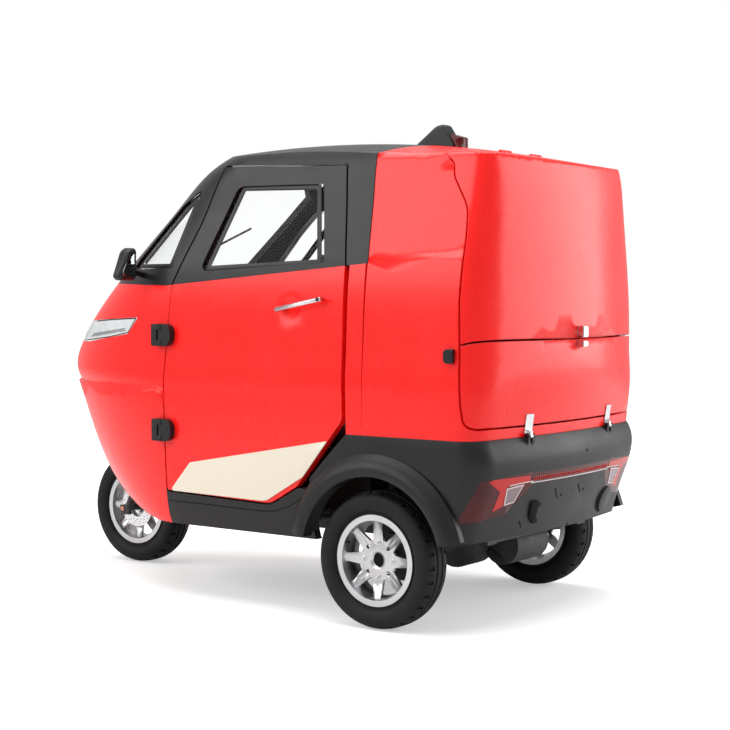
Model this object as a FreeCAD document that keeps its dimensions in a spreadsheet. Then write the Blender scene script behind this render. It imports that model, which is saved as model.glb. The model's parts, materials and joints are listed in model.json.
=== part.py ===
"""Enclosed electric tricycle with a cargo box: a parametric document, millimetres.

Frame: +X forward, +Y left, +Z up, origin on the ground at the middle of the length and width.
Every sub-part is drawn with the rear axle at X = 0 and then placed by the same shift along X.
"""
import FreeCAD
import Part
import Sketcher
import math
import os

V = FreeCAD.Vector
doc = FreeCAD.newDocument("electric_tricycle")

# Driving dimensions: alias, value in millimetres or degrees, meaning
DIMENSIONS = [
    ("wheelbase", 1704, "front axle to rear axle"),
    ("rear_track", 1090, "between the middles of the rear tyres"),
    ("tyre_radius", 247, "outer radius of all three tyres"),
    ("tyre_width", 137, "section width of the tyres"),
    ("bead_radius", 153, "where the tyre sits on the rim"),
    ("flange_radius", 170, "outer lip of the rim"),
    ("rim_width", 104, "across the rim's lips"),
    ("hub_radius", 46, "middle of the rim that carries the spokes"),
    ("axle_radius", 15, "stub that the wheel turns on"),
    ("running_clearance", 0.05, "radial clearance of a turning fit"),
    ("rest_gap", 0.3, "clearance of parts that lie against each other"),
    ("side_y", 604, "half of the body's width at its widest line"),
    ("sill_z", 292, "lower edge of the sills"),
    ("sill_top_z", 420, "lower edge of the doors"),
    ("lip_z", 825, "crease that runs round the nose"),
    ("cowl_z", 1225, "top of the painted body at the front of the door"),
    ("belt_rise", 75, "how much higher the belt is at the cargo box"),
    ("roof_z", 1778, "top of the roof's crown"),
    ("roof_peak_x", 521, "rear axle to the highest point of the roof"),
    ("roof_arch_radius", 4420, "curve of the roof along the vehicle"),
    ("roof_crown_radius", 2050, "curve of the roof across the vehicle"),
    ("box_floor_z", 690, "lower edge of the cargo box"),
    ("gate_split_z", 1030, "seam between the two tailgate halves"),
    ("gate_rear_x", 512, "rear axle back to the bulge of the tailgate"),
    ("latch_depth", 24, "how far the latch stands out from the tailgate"),
    ("nose_reach", 219, "front axle to the tip of the nose"),
    ("hinge_setback", 692, "front axle back to the door's pin"),
    ("door_rear_x", 121, "rear axle to the door's rear seam"),
    ("post_rear_x", 51, "rear axle to the front of the cargo box"),
    ("body_wall", 34, "thickness of the doors and of the body's walls"),
    ("glass_wall", 8, "thickness of the windows"),
    ("seam", 7, "gap round doors and tailgates"),
    ("door_pin_radius", 5, "pins of the door hinges"),
    ("steer_rake", 24, "steering axis leaning back, degrees"),
    ("fork_half_width", 92, "middle of a fork leg from the wheel's middle"),
    ("frame_z", 330, "middle of the chassis rails"),
    ("rail_y", 330, "middle of a chassis rail"),
    ("rail_size", 60, "square tube of the chassis"),
]
sheet = doc.addObject("Spreadsheet::Sheet", "Sizes")
for row, (alias, value, meaning) in enumerate(DIMENSIONS, start=1):
    sheet.set("A%d" % row, str(value))
    sheet.setAlias("A%d" % row, alias)
    sheet.set("B%d" % row, meaning)
doc.recompute()


def size(alias):
    return float(sheet.get(alias))


wheelbase = size("wheelbase")
half_track = size("rear_track") / 2
tyre_radius = size("tyre_radius")
side_y = size("side_y")
sill_z = size("sill_z")
sill_top_z = size("sill_top_z")
lip_z = size("lip_z")
cowl_z = size("cowl_z")
roof_z = size("roof_z")
box_floor_z = size("box_floor_z")
gate_split_z = size("gate_split_z")
gate_rear_x = size("gate_rear_x")
nose_x = wheelbase + size("nose_reach")
hinge_x = wheelbase - size("hinge_setback")
door_rear_x = size("door_rear_x")
post_rear_x = size("post_rear_x")
body_wall = size("body_wall")
seam = size("seam")
door_pin_radius = size("door_pin_radius")
rest_gap = size("rest_gap")
running = size("running_clearance")
frame_z = size("frame_z")
rail_y = size("rail_y")
rail_size = size("rail_size")

SHIFT = "(Sizes.gate_rear_x + Sizes.latch_depth - Sizes.wheelbase - Sizes.tyre_radius) / 2"
parts = []


def place(piece, label, along_x="0 mm", along_y="0 mm", along_z="0 mm"):
    """Name a sub-part and put it in the vehicle's frame."""
    piece.Label = label
    piece.setExpression("Placement.Base.x", SHIFT + " * 1 mm + " + along_x)
    piece.setExpression("Placement.Base.y", along_y)
    piece.setExpression("Placement.Base.z", along_z)
    parts.append(piece)
    return piece


def add_shape(label, shape):
    """A sub-part whose shape comes from Part's own functions."""
    piece = doc.addObject("Part::Feature", label)
    piece.Shape = shape
    return place(piece, label)


def join(shapes):
    result = shapes[0]
    for shape in shapes[1:]:
        result = result.fuse(shape)
    return result.removeSplitter()


def both_sides(shape):
    """The piece and its mirror image in the plane Y = 0, as two solids."""
    return Part.makeCompound([shape, shape.mirror(V(0, 0, 0), V(0, 1, 0))])


def mirrored(shape):
    return shape.mirror(V(0, 0, 0), V(0, 1, 0))


def box(x_range, y_range, z_range):
    corner = V(x_range[0], y_range[0], z_range[0])
    return Part.makeBox(x_range[1] - x_range[0], y_range[1] - y_range[0], z_range[1] - z_range[0], corner)


def rounding(before, corner, after, radius):
    """Start, middle and end of the arc that rounds a corner."""
    back = (before - corner).normalize()
    onward = (after - corner).normalize()
    half_angle = back.getAngle(onward) / 2
    reach = radius / math.tan(half_angle)
    towards_centre = (back + onward).normalize()
    middle = corner + towards_centre * (radius / math.sin(half_angle) - radius)
    return corner + back * reach, middle, corner + onward * reach


def outline_wire(points, to_space):
    """A closed wire through flat points. A point's third value rounds its corner by that radius."""
    corners = [to_space(point[0], point[1]) for point in points]
    stops = []
    for index, point in enumerate(points):
        if len(point) == 3:
            stops.append(rounding(corners[index - 1], corners[index], corners[(index + 1) % len(points)], point[2]))
        else:
            stops.append((corners[index], None, corners[index]))
    edges = []
    for (start, middle, end), following in zip(stops, stops[1:] + stops[:1]):
        if middle is not None:
            edges.append(Part.Arc(start, middle, end).toShape())
        if (following[0] - end).Length > 0.001:
            edges.append(Part.LineSegment(end, following[0]).toShape())
    return Part.Wire(edges)


def side_prism(points, y_range):
    """Extrude an outline of (x, z) points across the vehicle."""
    wire = outline_wire(points, lambda x, z: V(x, y_range[0], z))
    return Part.Face(wire).extrude(V(0, y_range[1] - y_range[0], 0))


def inset_prism(points, distance, y_range):
    """The same, with every side of the outline moved inwards."""
    wire = outline_wire(points, lambda x, z: V(x, y_range[0], z)).makeOffset2D(-distance, 2)
    return Part.Face(wire).extrude(V(0, y_range[1] - y_range[0], 0))


def front_prism(points, x_range):
    """Extrude an outline of (y, z) points along the vehicle."""
    wire = outline_wire(points, lambda y, z: V(x_range[0], y, z))
    return Part.Face(wire).extrude(V(x_range[1] - x_range[0], 0, 0))


def rod(start, end, radius):
    start = V(*start)
    end = V(*end)
    return Part.makeCylinder(radius, (end - start).Length, start, end - start)


# Handle length that makes a cubic curve follow a quarter of an ellipse
QUARTER = 0.5523


def flip(point):
    return V(point.x, -point.y, point.z)


def curve(*points):
    bezier = Part.BezierCurve()
    bezier.setPoles(list(points))
    return bezier.toShape()


def plan_outline(z, half_width, straight_x, tip_x, rear_x, bulge, corner):
    """A closed plan outline: elliptical nose, straight sides, rounded corners, bulging rear."""
    side = V(straight_x, half_width, z)
    tip = V(tip_x, 0, z)
    side_handle = side + V(QUARTER * (tip_x - straight_x), 0, 0)
    tip_handle = tip + V(0, QUARTER * half_width, 0)
    side_end = V(rear_x + bulge + corner, half_width, z)
    rear_end = V(rear_x + bulge, half_width - corner, z)
    slope = V(-2 * bulge, corner - half_width, 0).normalize()
    corner_start = side_end - V(QUARTER * corner, 0, 0)
    corner_finish = rear_end - slope * QUARTER * corner
    rear_handle = V(rear_x + bulge - 4 * bulge / 3, (half_width - corner) / 3, z)
    edges = [
        curve(tip, tip_handle, side_handle, side),
        Part.LineSegment(side, side_end).toShape(),
        curve(side_end, corner_start, corner_finish, rear_end),
        curve(rear_end, rear_handle, flip(rear_handle), flip(rear_end)),
        curve(flip(rear_end), flip(corner_finish), flip(corner_start), flip(side_end)),
        Part.LineSegment(flip(side_end), flip(side)).toShape(),
        curve(flip(side), flip(side_handle), flip(tip_handle), tip),
    ]
    return Part.Wire(edges)


def body_loft(rows, inset):
    """Loft through plan outlines, each pulled in by the wall's thickness."""
    wires = []
    for z, half_width, straight_x, tip_x, rear, bulge, corner in rows:
        wires.append(plan_outline(z, half_width - inset, straight_x, tip_x - inset, rear + inset,
                                  bulge, corner - inset / 2))
    return Part.makeLoft(wires, True, False)


# Plan outlines of the body. Columns: height, half width, front end of the straight side,
# tip of the nose, middle of the rear, how far the rear bulges, size of the rear corners
rear_x = -gate_rear_x
straight_x = hinge_x - 62
LOWER_ROWS = [
    (sill_z, side_y - 48, straight_x, nose_x - 500, rear_x + 70, 40, 80),
    (sill_z + 60, side_y - 28, straight_x, nose_x - 360, rear_x + 66, 40, 80),
    (sill_z + 208, side_y - 12, straight_x, nose_x - 189, rear_x + 62, 40, 85),
    (box_floor_z - 10, side_y - 4, straight_x, nose_x - 77, rear_x + 54, 40, 90),
    (lip_z, side_y, straight_x, nose_x, rear_x + 26, 50, 100),
]


def between(share):
    """A height between the cowl and the top of the roof."""
    return cowl_z + share * (roof_z - cowl_z)


UPPER_ROWS = [
    (lip_z, side_y, straight_x, nose_x - 28, rear_x + 26, 50, 100),
    (lip_z + 130, side_y - 3, straight_x, nose_x - 7, rear_x + 8, 66, 102),
    (lip_z + 300, side_y - 11, straight_x, nose_x - 150, rear_x + 6, 68, 100),
    (between(0.145), side_y - 29, straight_x - 50, nose_x - 361, rear_x + 12, 67, 92),
    (between(0.575), side_y - 77, straight_x - 180, nose_x - 649, rear_x + 34, 48, 78),
    (between(0.803), side_y - 102, straight_x - 250, nose_x - 817, rear_x + 56, 38, 66),
    (between(0.902), side_y - 124, straight_x - 330, nose_x - 916, rear_x + 82, 32, 60),
    (between(1.022), side_y - 180, straight_x - 430, nose_x - 1040, rear_x + 128, 28, 60),
]


def crown_middle(x):
    """Height of the roof's ridge."""
    along = size("roof_arch_radius")
    return roof_z - along + math.sqrt(along ** 2 - (x - size("roof_peak_x")) ** 2)


def crown_radius(x):
    """Radius of the roof across the vehicle: round over the cabin, nearly flat at the tail."""
    share = min(max((post_rear_x - x) / (post_rear_x - rear_x), 0), 1)
    flatness = 0.95 * share * share * (3 - 2 * share)
    return size("roof_crown_radius") / (1 - flatness)


def crown_z(x, y):
    return crown_middle(x) - y * y / (2 * crown_radius(x))


def roof_crown(drop):
    """A solid under the roof: parabolas across the vehicle, lofted along it."""
    half_span = side_y + 80
    spacing = (nose_x + 60 - rear_x) / 11
    wires = []
    for number in range(-1, 12):
        x = rear_x + number * spacing
        middle = crown_middle(x) - drop
        edge = crown_z(x, half_span) - drop
        left = V(x, half_span, edge)
        right = V(x, -half_span, edge)
        ridge = curve(left, V(x, 0, 2 * middle - edge), right)
        sides = Part.makePolygon([right, V(x, -half_span, 0), V(x, half_span, 0), left])
        wires.append(Part.Wire([ridge] + sides.Edges))
    return Part.makeLoft(wires, True, False)


def body_solid(inset, drop):
    lower = body_loft(LOWER_ROWS, inset)
    upper = body_loft(UPPER_ROWS, inset).common(roof_crown(drop))
    return lower.fuse(upper)


# The full body, the space inside its walls and the hollow shell between them
def flat_cap(loft, z):
    return [face for face in loft.Faces if abs(face.BoundBox.ZMax - z) + abs(face.BoundBox.ZMin - z) < 0.01][0]


def body_shell():
    lower_space = body_loft(LOWER_ROWS, body_wall)
    mouth = flat_cap(lower_space, sill_z).extrude(V(0, 0, -body_wall))
    throat = flat_cap(lower_space, lip_z).extrude(V(0, 0, body_wall))
    lower = body_loft(LOWER_ROWS, 0).cut(lower_space).cut(mouth).cut(throat)
    upper_space = body_loft(UPPER_ROWS, body_wall).common(roof_crown(body_wall))
    upper = body_loft(UPPER_ROWS, 0).common(roof_crown(0)).cut(upper_space)
    return lower.fuse(upper)


outer_body = body_solid(0, 0)
proud_body = body_solid(-rest_gap, -rest_gap)
inner_body = body_solid(body_wall, body_wall)
shell = body_shell()

# Places well outside the body, where the zones that cut it end
wide = side_y + 80
high = roof_z + 120
behind_x = -900
ahead_x = 2300


def belt_at(x):
    """Height of the line between the painted body and the windows."""
    rise = size("belt_rise") * (hinge_x - x) / (hinge_x - post_rear_x)
    return cowl_z + max(rise, 0)


def skin_x(y, z):
    """Where the rear of the body lies at a height and distance from the middle."""
    probe = Part.makeLine(V(rear_x - 100, y, z), V(0, y, z))
    return probe.common(outer_body).BoundBox.XMin


def side_zone(points, y_range=(-wide, wide)):
    return side_prism(points, y_range)


# Side view of a door opening, clockwise from the top of the front seam
door_low_x = hinge_x - 528
DOOR_OUTLINE = [
    (hinge_x - 228, roof_z - 92, 6),
    (hinge_x - 147, between(0.421), 500),
    (hinge_x - 28, belt_at(hinge_x)),
    (hinge_x, lip_z, 60),
    (hinge_x, sill_top_z, 12),
    (door_low_x, sill_top_z - 14, 100),
    (door_low_x - 134, sill_top_z + 60, 60),
    (door_rear_x + 11, box_floor_z + 47, 60),
    (door_rear_x + 15, belt_at(door_rear_x)),
    (door_rear_x + 61, roof_z - 114, 6),
    (hinge_x - 550, roof_z - 106),
]

# Side view of the cargo box, with its nearly upright front edge
box_top_x = post_rear_x + 7
BOX_FRONT = [(post_rear_x, box_floor_z), (post_rear_x - 8, belt_at(post_rear_x)), (box_top_x, roof_z - 94),
             (box_top_x, high)]
box_zone = side_zone(BOX_FRONT + [(behind_x, high), (behind_x, box_floor_z)])
cabin_zone = side_zone(BOX_FRONT + [(ahead_x, high), (ahead_x, box_floor_z)])
above_belt = side_zone([(behind_x, belt_at(behind_x)), (hinge_x, cowl_z), (1500, cowl_z + 12), (ahead_x, cowl_z + 12),
                        (ahead_x, high), (behind_x, high)])
ROOF_PANEL = [(0, 484), (hinge_x - 244, 428, 150), (hinge_x - 170, 380, 50), (hinge_x - 170, -380, 50),
              (hinge_x - 244, -428, 150), (0, -484)]
panel_wire = outline_wire(ROOF_PANEL, lambda x, y: V(x, y, roof_z - 110))
above_roof_edge = Part.Face(panel_wire).extrude(V(0, 0, 230))
left_door_zone = side_prism(DOOR_OUTLINE, (0, wide))
door_zones = left_door_zone.fuse(mirrored(left_door_zone))
door_blank = inset_prism(DOOR_OUTLINE, seam, (0, wide))

# Front frame round the windscreen and the windows beside it
half_screen = 355
screen_low_z = cowl_z + 44
screen_top_z = roof_z - 85
SCREEN_OUTLINE = [(-half_screen, screen_low_z, 50), (half_screen, screen_low_z, 50),
                  (half_screen, screen_top_z, 50), (-half_screen, screen_top_z, 50)]
QUARTER_OUTLINE = [(hinge_x - 108, roof_z - 178, 10), (hinge_x + 34, between(0.575), 90),
                   (hinge_x + 136, between(0.41), 200), (hinge_x + 256, between(0.195), 14),
                   (hinge_x + 276, between(0.118), 8), (hinge_x - 24, between(0.125), 10)]
DOOR_WINDOW = [(hinge_x - 320, roof_z - 178, 40), (hinge_x - 729, roof_z - 184, 14),
               (hinge_x - 774, between(0.148), 14), (hinge_x - 172, between(0.096), 22)]
screen_zone = front_prism(SCREEN_OUTLINE, (700, ahead_x))
quarter_zone = side_prism(QUARTER_OUTLINE, (200, wide))
quarter_zones = quarter_zone.fuse(mirrored(quarter_zone))
window_zone = side_prism(DOOR_WINDOW, (200, wide))

glass_inset = 9
glass_back = glass_inset + size("glass_wall")
glass_skin = body_loft(UPPER_ROWS, glass_inset).cut(body_loft(UPPER_ROWS, glass_back))


def build_cabin():
    upper = shell.common(above_belt).common(cabin_zone)
    frame = upper.cut(above_roof_edge).cut(door_zones).cut(screen_zone).cut(quarter_zones)
    add_shape("cabin_frame", frame)
    add_shape("roof_panel", upper.common(above_roof_edge).cut(screen_zone))
    add_shape("windscreen", glass_skin.common(screen_zone))
    left = glass_skin.common(quarter_zone)
    add_shape("quarter_windows", both_sides(left))


arch_half_width = 228
arch_front_x = wheelbase - 400


def build_nose():
    """Painted shell ahead of the doors, open below for the steered wheel."""
    zone = side_zone([(hinge_x, sill_z - 60), (hinge_x, lip_z), (hinge_x - 33, belt_at(hinge_x)),
                      (hinge_x - 33, high), (ahead_x, high), (ahead_x, sill_z - 60)])
    painted = shell.common(zone).cut(above_belt)
    arch_top_z = tyre_radius * 2 + 76
    arch = box((arch_front_x, ahead_x), (-arch_half_width, arch_half_width), (sill_z - 60, arch_top_z))
    chin = side_zone([(hinge_x + 100, sill_z - 60), (hinge_x + 100, sill_z), (hinge_x + 300, sill_z + 30),
                      (hinge_x + 480, sill_z + 100), (hinge_x + 690, sill_z + 200), (ahead_x, sill_z + 270),
                      (ahead_x, sill_z - 60)])
    lamp_zone = side_zone([(hinge_x + 161, lip_z + 275, 3), (hinge_x + 226, lip_z + 208, 12),
                           (hinge_x + 554, lip_z + 170, 200), (ahead_x, lip_z + 158), (ahead_x, lip_z + 226)])
    lamp_zone = lamp_zone.cut(box((0, ahead_x), (-150, 150), (0, high)))
    add_shape("nose_shell", painted.cut(arch).cut(chin).cut(lamp_zone))
    add_shape("headlamps", painted.common(lamp_zone))


def build_posts():
    """Painted strips between the doors and the cargo box."""
    zone = side_zone([(post_rear_x, box_floor_z), (post_rear_x, high), (400, high), (400, box_floor_z)])
    add_shape("door_posts", shell.common(zone).cut(above_belt).cut(door_zones)
              .cut(side_zone([(door_rear_x + 1, 0), (ahead_x, 0), (ahead_x, high), (door_rear_x + 1, high)])))


def build_sills():
    zone = box((door_low_x - 194, hinge_x), (-wide, wide), (sill_z - 60, sill_top_z + 60))
    add_shape("sills", shell.common(zone).cut(door_zones))


# Cargo box: the seam of the tailgate, from the roof down the side and round under the gate
gate_side_x = rear_x + 162
gate_top_x = gate_side_x + 120
GATE_OUTLINE = [(gate_top_x, high), (gate_top_x, roof_z - 98, 14), (gate_top_x - 44, roof_z - 138, 30),
                (gate_top_x - 50, roof_z - 184, 60), (gate_side_x + 2, between(0.47), 120),
                (gate_side_x - 4, between(0.29), 300), (gate_side_x + 3, gate_split_z + 140, 600),
                (gate_side_x - 8, box_floor_z + 124, 200), (gate_side_x - 18, box_floor_z + 36, 45),
                (behind_x, box_floor_z + 36), (behind_x, high)]
gate_zone = side_zone(GATE_OUTLINE)
gate_blank = inset_prism(GATE_OUTLINE, seam, (-wide, wide))
top_hinge_y = 110
top_pin = V(gate_top_x - 10, 0, crown_z(gate_top_x - 10, 0) - 2)
strap_y = 296
strap_half = 22
low_pin = V(skin_x(strap_y, box_floor_z + 22) - 12, 0, box_floor_z + 3)
gate_pin_radius = 4
knuckle_radius = 8
latch_middle_y = 28
latch_half = 17


def pin_hinge(pin, y_middle, half, fixed_neck, moving_neck):
    """A pin along Y with a knuckle of the moving piece between two of the fixed one.

    The necks are boxes that tie the knuckles to their pieces. Returns what is added to the fixed
    piece, what is cut from it, and the same for the moving piece.
    """
    third = half / 3
    room = knuckle_radius + 4

    def along_pin(y_low, y_high, radius):
        return rod((pin.x, y_middle + y_low, pin.z), (pin.x, y_middle + y_high, pin.z), radius)

    fixed_cut = along_pin(-third - rest_gap, third + rest_gap, room)
    moving_cut = along_pin(-half - 6, half + 6, room)
    bore = along_pin(-third - 2, third + 2, gate_pin_radius + running)
    middle = moving_neck.common(box((behind_x, ahead_x), (y_middle - third, y_middle + third), (0, high)))
    moving = along_pin(-third, third, knuckle_radius).fuse(middle).cut(bore)
    fixed = along_pin(-half, half, gate_pin_radius)
    for y_low, y_high in ((-half, -third - rest_gap), (third + rest_gap, half)):
        neck = fixed_neck.common(box((behind_x, ahead_x), (y_middle + y_low, y_middle + y_high), (0, high)))
        fixed = fixed.fuse(along_pin(y_low, y_high, knuckle_radius)).fuse(neck)
    return fixed, fixed_cut, moving, moving_cut


# Above a crease the fixed sides of the cargo box lie a little further in
crease_depth = 2.5


def crease_z(x):
    return belt_at(post_rear_x) + 5 + (post_rear_x - x) * 0.048


# The seam between the two halves is a cylinder about the lower pin, so the lower half drops past it
seam_reach = math.hypot(gate_split_z - low_pin.z, rear_x + 10 - low_pin.x)


def seam_drum(radius):
    return rod((low_pin.x, -wide, low_pin.z), (low_pin.x, wide, low_pin.z), radius)


def build_cargo():
    cargo = shell.common(box_zone).cut(gate_zone)
    wall_line = [(x - 2, z) for x, z in BOX_FRONT]
    back_line = [(x - 24, z) for x, z in reversed(BOX_FRONT)]
    cargo = cargo.fuse(side_zone(wall_line + back_line).common(inner_body))
    above_crease = side_zone([(behind_x, crease_z(behind_x)), (post_rear_x + 60, crease_z(post_rear_x + 60)),
                              (post_rear_x + 60, high), (behind_x, high)])
    cargo = cargo.cut(above_crease.cut(body_loft(UPPER_ROWS, crease_depth)))
    roof_seam = box((top_pin.x - 4, gate_top_x), (-wide, wide), (roof_z - 110, high))
    both_halves = shell.common(box_zone).common(gate_blank).cut(roof_seam)
    half_seam = seam / 2
    top_half = both_halves.cut(seam_drum(seam_reach + half_seam))
    low_half = both_halves.common(seam_drum(seam_reach - half_seam))
    for y_middle in (-top_hinge_y, top_hinge_y):
        fixed_neck = box((top_pin.x, top_pin.x + 18), (-wide, wide), (top_pin.z - 8, top_pin.z))
        moving_neck = box((top_pin.x - 18, top_pin.x), (-wide, wide), (top_pin.z - 8, top_pin.z))
        fixed, fixed_cut, moving, moving_cut = pin_hinge(top_pin, y_middle, 36, fixed_neck, moving_neck)
        cargo = cargo.cut(fixed_cut).fuse(fixed)
        top_half = top_half.cut(moving_cut).fuse(moving)
    straps = []
    for y_middle in (-strap_y, strap_y):
        moving_neck = box((low_pin.x - 5, low_pin.x + 9), (-wide, wide), (low_pin.z, low_pin.z + 22))
        pieces = pin_hinge(low_pin, y_middle, strap_half, low_neck, moving_neck)
        plate = body_loft(LOWER_ROWS, -4.3).common(box((rear_x, 0), (y_middle - strap_half, y_middle + strap_half),
                                                       (low_pin.z + 9, box_floor_z + 80)))
        straps.append(plate.fuse(pieces[2]).cut(body_loft(LOWER_ROWS, -rest_gap)).removeSplitter())
    add_shape("cargo_box", cargo)
    add_shape("tailgate_upper", top_half)
    add_shape("tailgate_lower", low_half)
    add_shape("gate_straps", Part.makeCompound(straps))
    tray = body_solid(body_wall + seam, body_wall)
    floor = tray.common(box((rear_x, post_rear_x - 26), (-wide, wide), (box_floor_z, box_floor_z + 16)))
    add_shape("cargo_floor", floor)
    depth = size("latch_depth")
    latch_y = (latch_middle_y - latch_half, latch_middle_y + latch_half)
    latch = box((rear_x - depth, rear_x + 40), latch_y, (gate_split_z + 5, gate_split_z + 47))
    latch = latch.makeFillet(6, [edge for edge in latch.Edges if edge.BoundBox.XMax < rear_x])
    keeper = box((rear_x - depth, rear_x + 40), latch_y, (gate_split_z - 30, gate_split_z - 6))
    keeper = keeper.makeFillet(6, [edge for edge in keeper.Edges if edge.BoundBox.XMax < rear_x])
    add_shape("gate_latch", latch.cut(proud_body).removeSplitter())
    add_shape("latch_keeper", keeper.cut(proud_body).removeSplitter())
    buffer = side_prism([(gate_side_x + 10, 955, 6), (gate_side_x + 47, 955, 14), (gate_side_x + 47, 1004, 14),
                         (gate_side_x + 10, 1004, 6)], (side_y - 20, side_y + 14))
    add_shape("side_buffers", both_sides(buffer.cut(proud_body)))


low_neck = box((low_pin.x - 5, low_pin.x + 28), (-wide, wide), (low_pin.z - 24, low_pin.z - 4))


# Plan outlines of the black lower body round the rear wheels, same columns as above
REAR_ROWS = [
    (sill_z + 6, side_y - 30, 950, nose_x, rear_x + 116, 36, 80),
    (sill_z + 138, side_y - 14, 950, nose_x, rear_x + 80, 38, 90),
    (box_floor_z - 134, side_y - 4, 950, nose_x, rear_x + 33, 40, 100),
    (box_floor_z - 70, side_y, 950, nose_x, rear_x + 25, 40, 100),
    (box_floor_z, side_y - 3, 950, nose_x, rear_x + 50, 40, 95),
]
arch_radius = tyre_radius + 54

# The left tail lamp, seen square to the body's rear corner: across from the corner, and height
LAMP_OUTLINE = [(-gate_rear_x + 767, sill_z + 109, 8), (-gate_rear_x + 649, box_floor_z - 137, 12),
                (-gate_rear_x + 345, box_floor_z - 122, 6), (-gate_rear_x + 322, box_floor_z - 166, 10),
                (-gate_rear_x + 484, sill_z + 130, 30)]


def corner_view(across, z):
    """A point on the upright plane through the axis that looks at the left rear corner."""
    return V(across / 2, across / 2, z)


def build_rear_body():
    outer = body_loft(REAR_ROWS, 0)
    inner = body_loft([(sill_z - 50,) + REAR_ROWS[0][1:]] + REAR_ROWS[:-1]
                      + [(box_floor_z + 20,) + REAR_ROWS[-1][1:]], 26)
    sill_end = door_low_x - 194
    zone = side_zone([(behind_x, sill_z + 38), (behind_x, box_floor_z), (post_rear_x + 71, box_floor_z),
                      (sill_end, sill_z + 230), (sill_end, sill_z - 10), (-150, sill_z - 10), (-150, sill_z + 38)])
    lower = outer.cut(inner).common(zone).cut(door_zones)
    arch = rod((0, 430, tyre_radius), (0, wide, tyre_radius), arch_radius)
    lower = lower.cut(arch.fuse(mirrored(arch)))
    wire = outline_wire(LAMP_OUTLINE, corner_view)
    lamp_left = Part.Face(wire).extrude(V(-900, 900, 0))
    bar = box((behind_x, rear_x + 120), (-300, 300), (box_floor_z - 163, box_floor_z - 127))
    lamp_zone = join([lamp_left, mirrored(lamp_left), bar])
    black_body = lower.cut(lamp_zone)
    for y_middle in (-strap_y, strap_y):
        fixed, fixed_cut, moving, moving_cut = pin_hinge(low_pin, y_middle, strap_half, low_neck, low_neck)
        black_body = black_body.cut(fixed_cut).fuse(fixed)
    add_shape("rear_body", black_body)
    add_shape("tail_lamps", lower.common(lamp_zone).removeSplitter())
    flare_profile = [(arch_radius, side_y - 24), (arch_radius, side_y + 26), (arch_radius + 14, side_y + 36),
                     (arch_radius + 46, side_y + 30), (arch_radius + 80, side_y + 2), (arch_radius + 80, side_y - 24)]
    corners = [V(radius, y, 0) for radius, y in flare_profile]
    face = Part.Face(Part.makePolygon(corners + corners[:1]))
    face.rotate(V(0, 0, 0), V(0, 1, 0), -12)
    flare = face.revolve(V(0, 0, 0), V(0, 1, 0), -153)
    flare.translate(V(0, 0, tyre_radius))
    seat = body_loft(REAR_ROWS, -rest_gap)
    flare = flare.cut(seat).cut(box((behind_x, ahead_x), (0, wide), (box_floor_z, high)))
    add_shape("rear_fenders", both_sides(flare))


def build_chassis():
    half = rail_size / 2
    pieces = []
    for side in (-1, 1):
        y = side * rail_y
        pieces.append(box((-325, hinge_x + 278), (y - half, y + half), (frame_z - half, frame_z + half)))
        for x in (-305, 10):
            pieces.append(box((x - 20, x + 20), (y - 20, y + 20), (frame_z + half, box_floor_z - 40)))
        pieces.append(box((-400, post_rear_x - 26), (y - 20, y + 20), (box_floor_z - 40, box_floor_z)))
        brace_top = steer_point(496)
        pieces.append(rod((hinge_x + 263, side * 190, frame_z), (brace_top.x, side * 22, brace_top.z), 24))
        pieces.append(box((-62, -18), (min(side * 330, side * 412), max(side * 330, side * 412)),
                          (box_floor_z - 70 + rest_gap, box_floor_z - 56)))
        pieces.append(box((-62, -18), (y - 20, y + 20), (box_floor_z - 70 + rest_gap, box_floor_z - 40)))
    for x in (-305, door_rear_x + 179, hinge_x - 212, hinge_x + 258):
        pieces.append(box((x - 20, x + 20), (-rail_y, rail_y), (frame_z - 25, frame_z + 25)))
    for x in (-370, 10):
        pieces.append(box((x - 20, x + 20), (-rail_y, rail_y), (box_floor_z - 38, box_floor_z - 2)))
    low = steer_point(430)
    top = steer_point(590)
    head = Part.makeCylinder(34, (top - low).Length, low, top - low)
    bore = Part.makeCylinder(22 + running, (top - low).Length + 80, steer_point(390), top - low)
    add_shape("chassis_frame", join(pieces + [head]).cut(bore))


rake = math.radians(size("steer_rake"))
steer_foot = V(wheelbase - 34, 0, tyre_radius)


def steer_point(distance):
    """A point on the steering axis, measured up from beside the front axle."""
    return steer_foot + V(-math.sin(rake), 0, math.cos(rake)) * distance


def build_floor():
    deck_z = frame_z + rail_size / 2
    inside = body_solid(body_wall + rest_gap, body_wall + rest_gap)
    toe_x = hinge_x + 228
    deck = inside.common(box((post_rear_x, toe_x), (-wide, wide), (deck_z, deck_z + 8)))
    front = inside.common(box((toe_x - 8, toe_x), (-wide, wide), (deck_z, lip_z + 75)))
    rear = inside.common(box((post_rear_x, post_rear_x + 8), (-wide, wide), (deck_z, box_floor_z)))
    wheel_room = rod((0, 420, tyre_radius), (0, wide, tyre_radius), arch_radius)
    add_shape("floor_pan", join([deck, front, rear]).cut(wheel_room).cut(mirrored(wheel_room)))
    outline = [(hinge_x + 548, cowl_z - 195), (hinge_x + 548, cowl_z - 35), (hinge_x + 338, cowl_z - 20, 20),
               (hinge_x + 310, cowl_z - 75, 20), (hinge_x + 344, cowl_z - 195)]
    board = body_solid(body_wall + 0.7, body_wall + 0.7).common(side_zone(outline))
    add_shape("dashboard", board)


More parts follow.
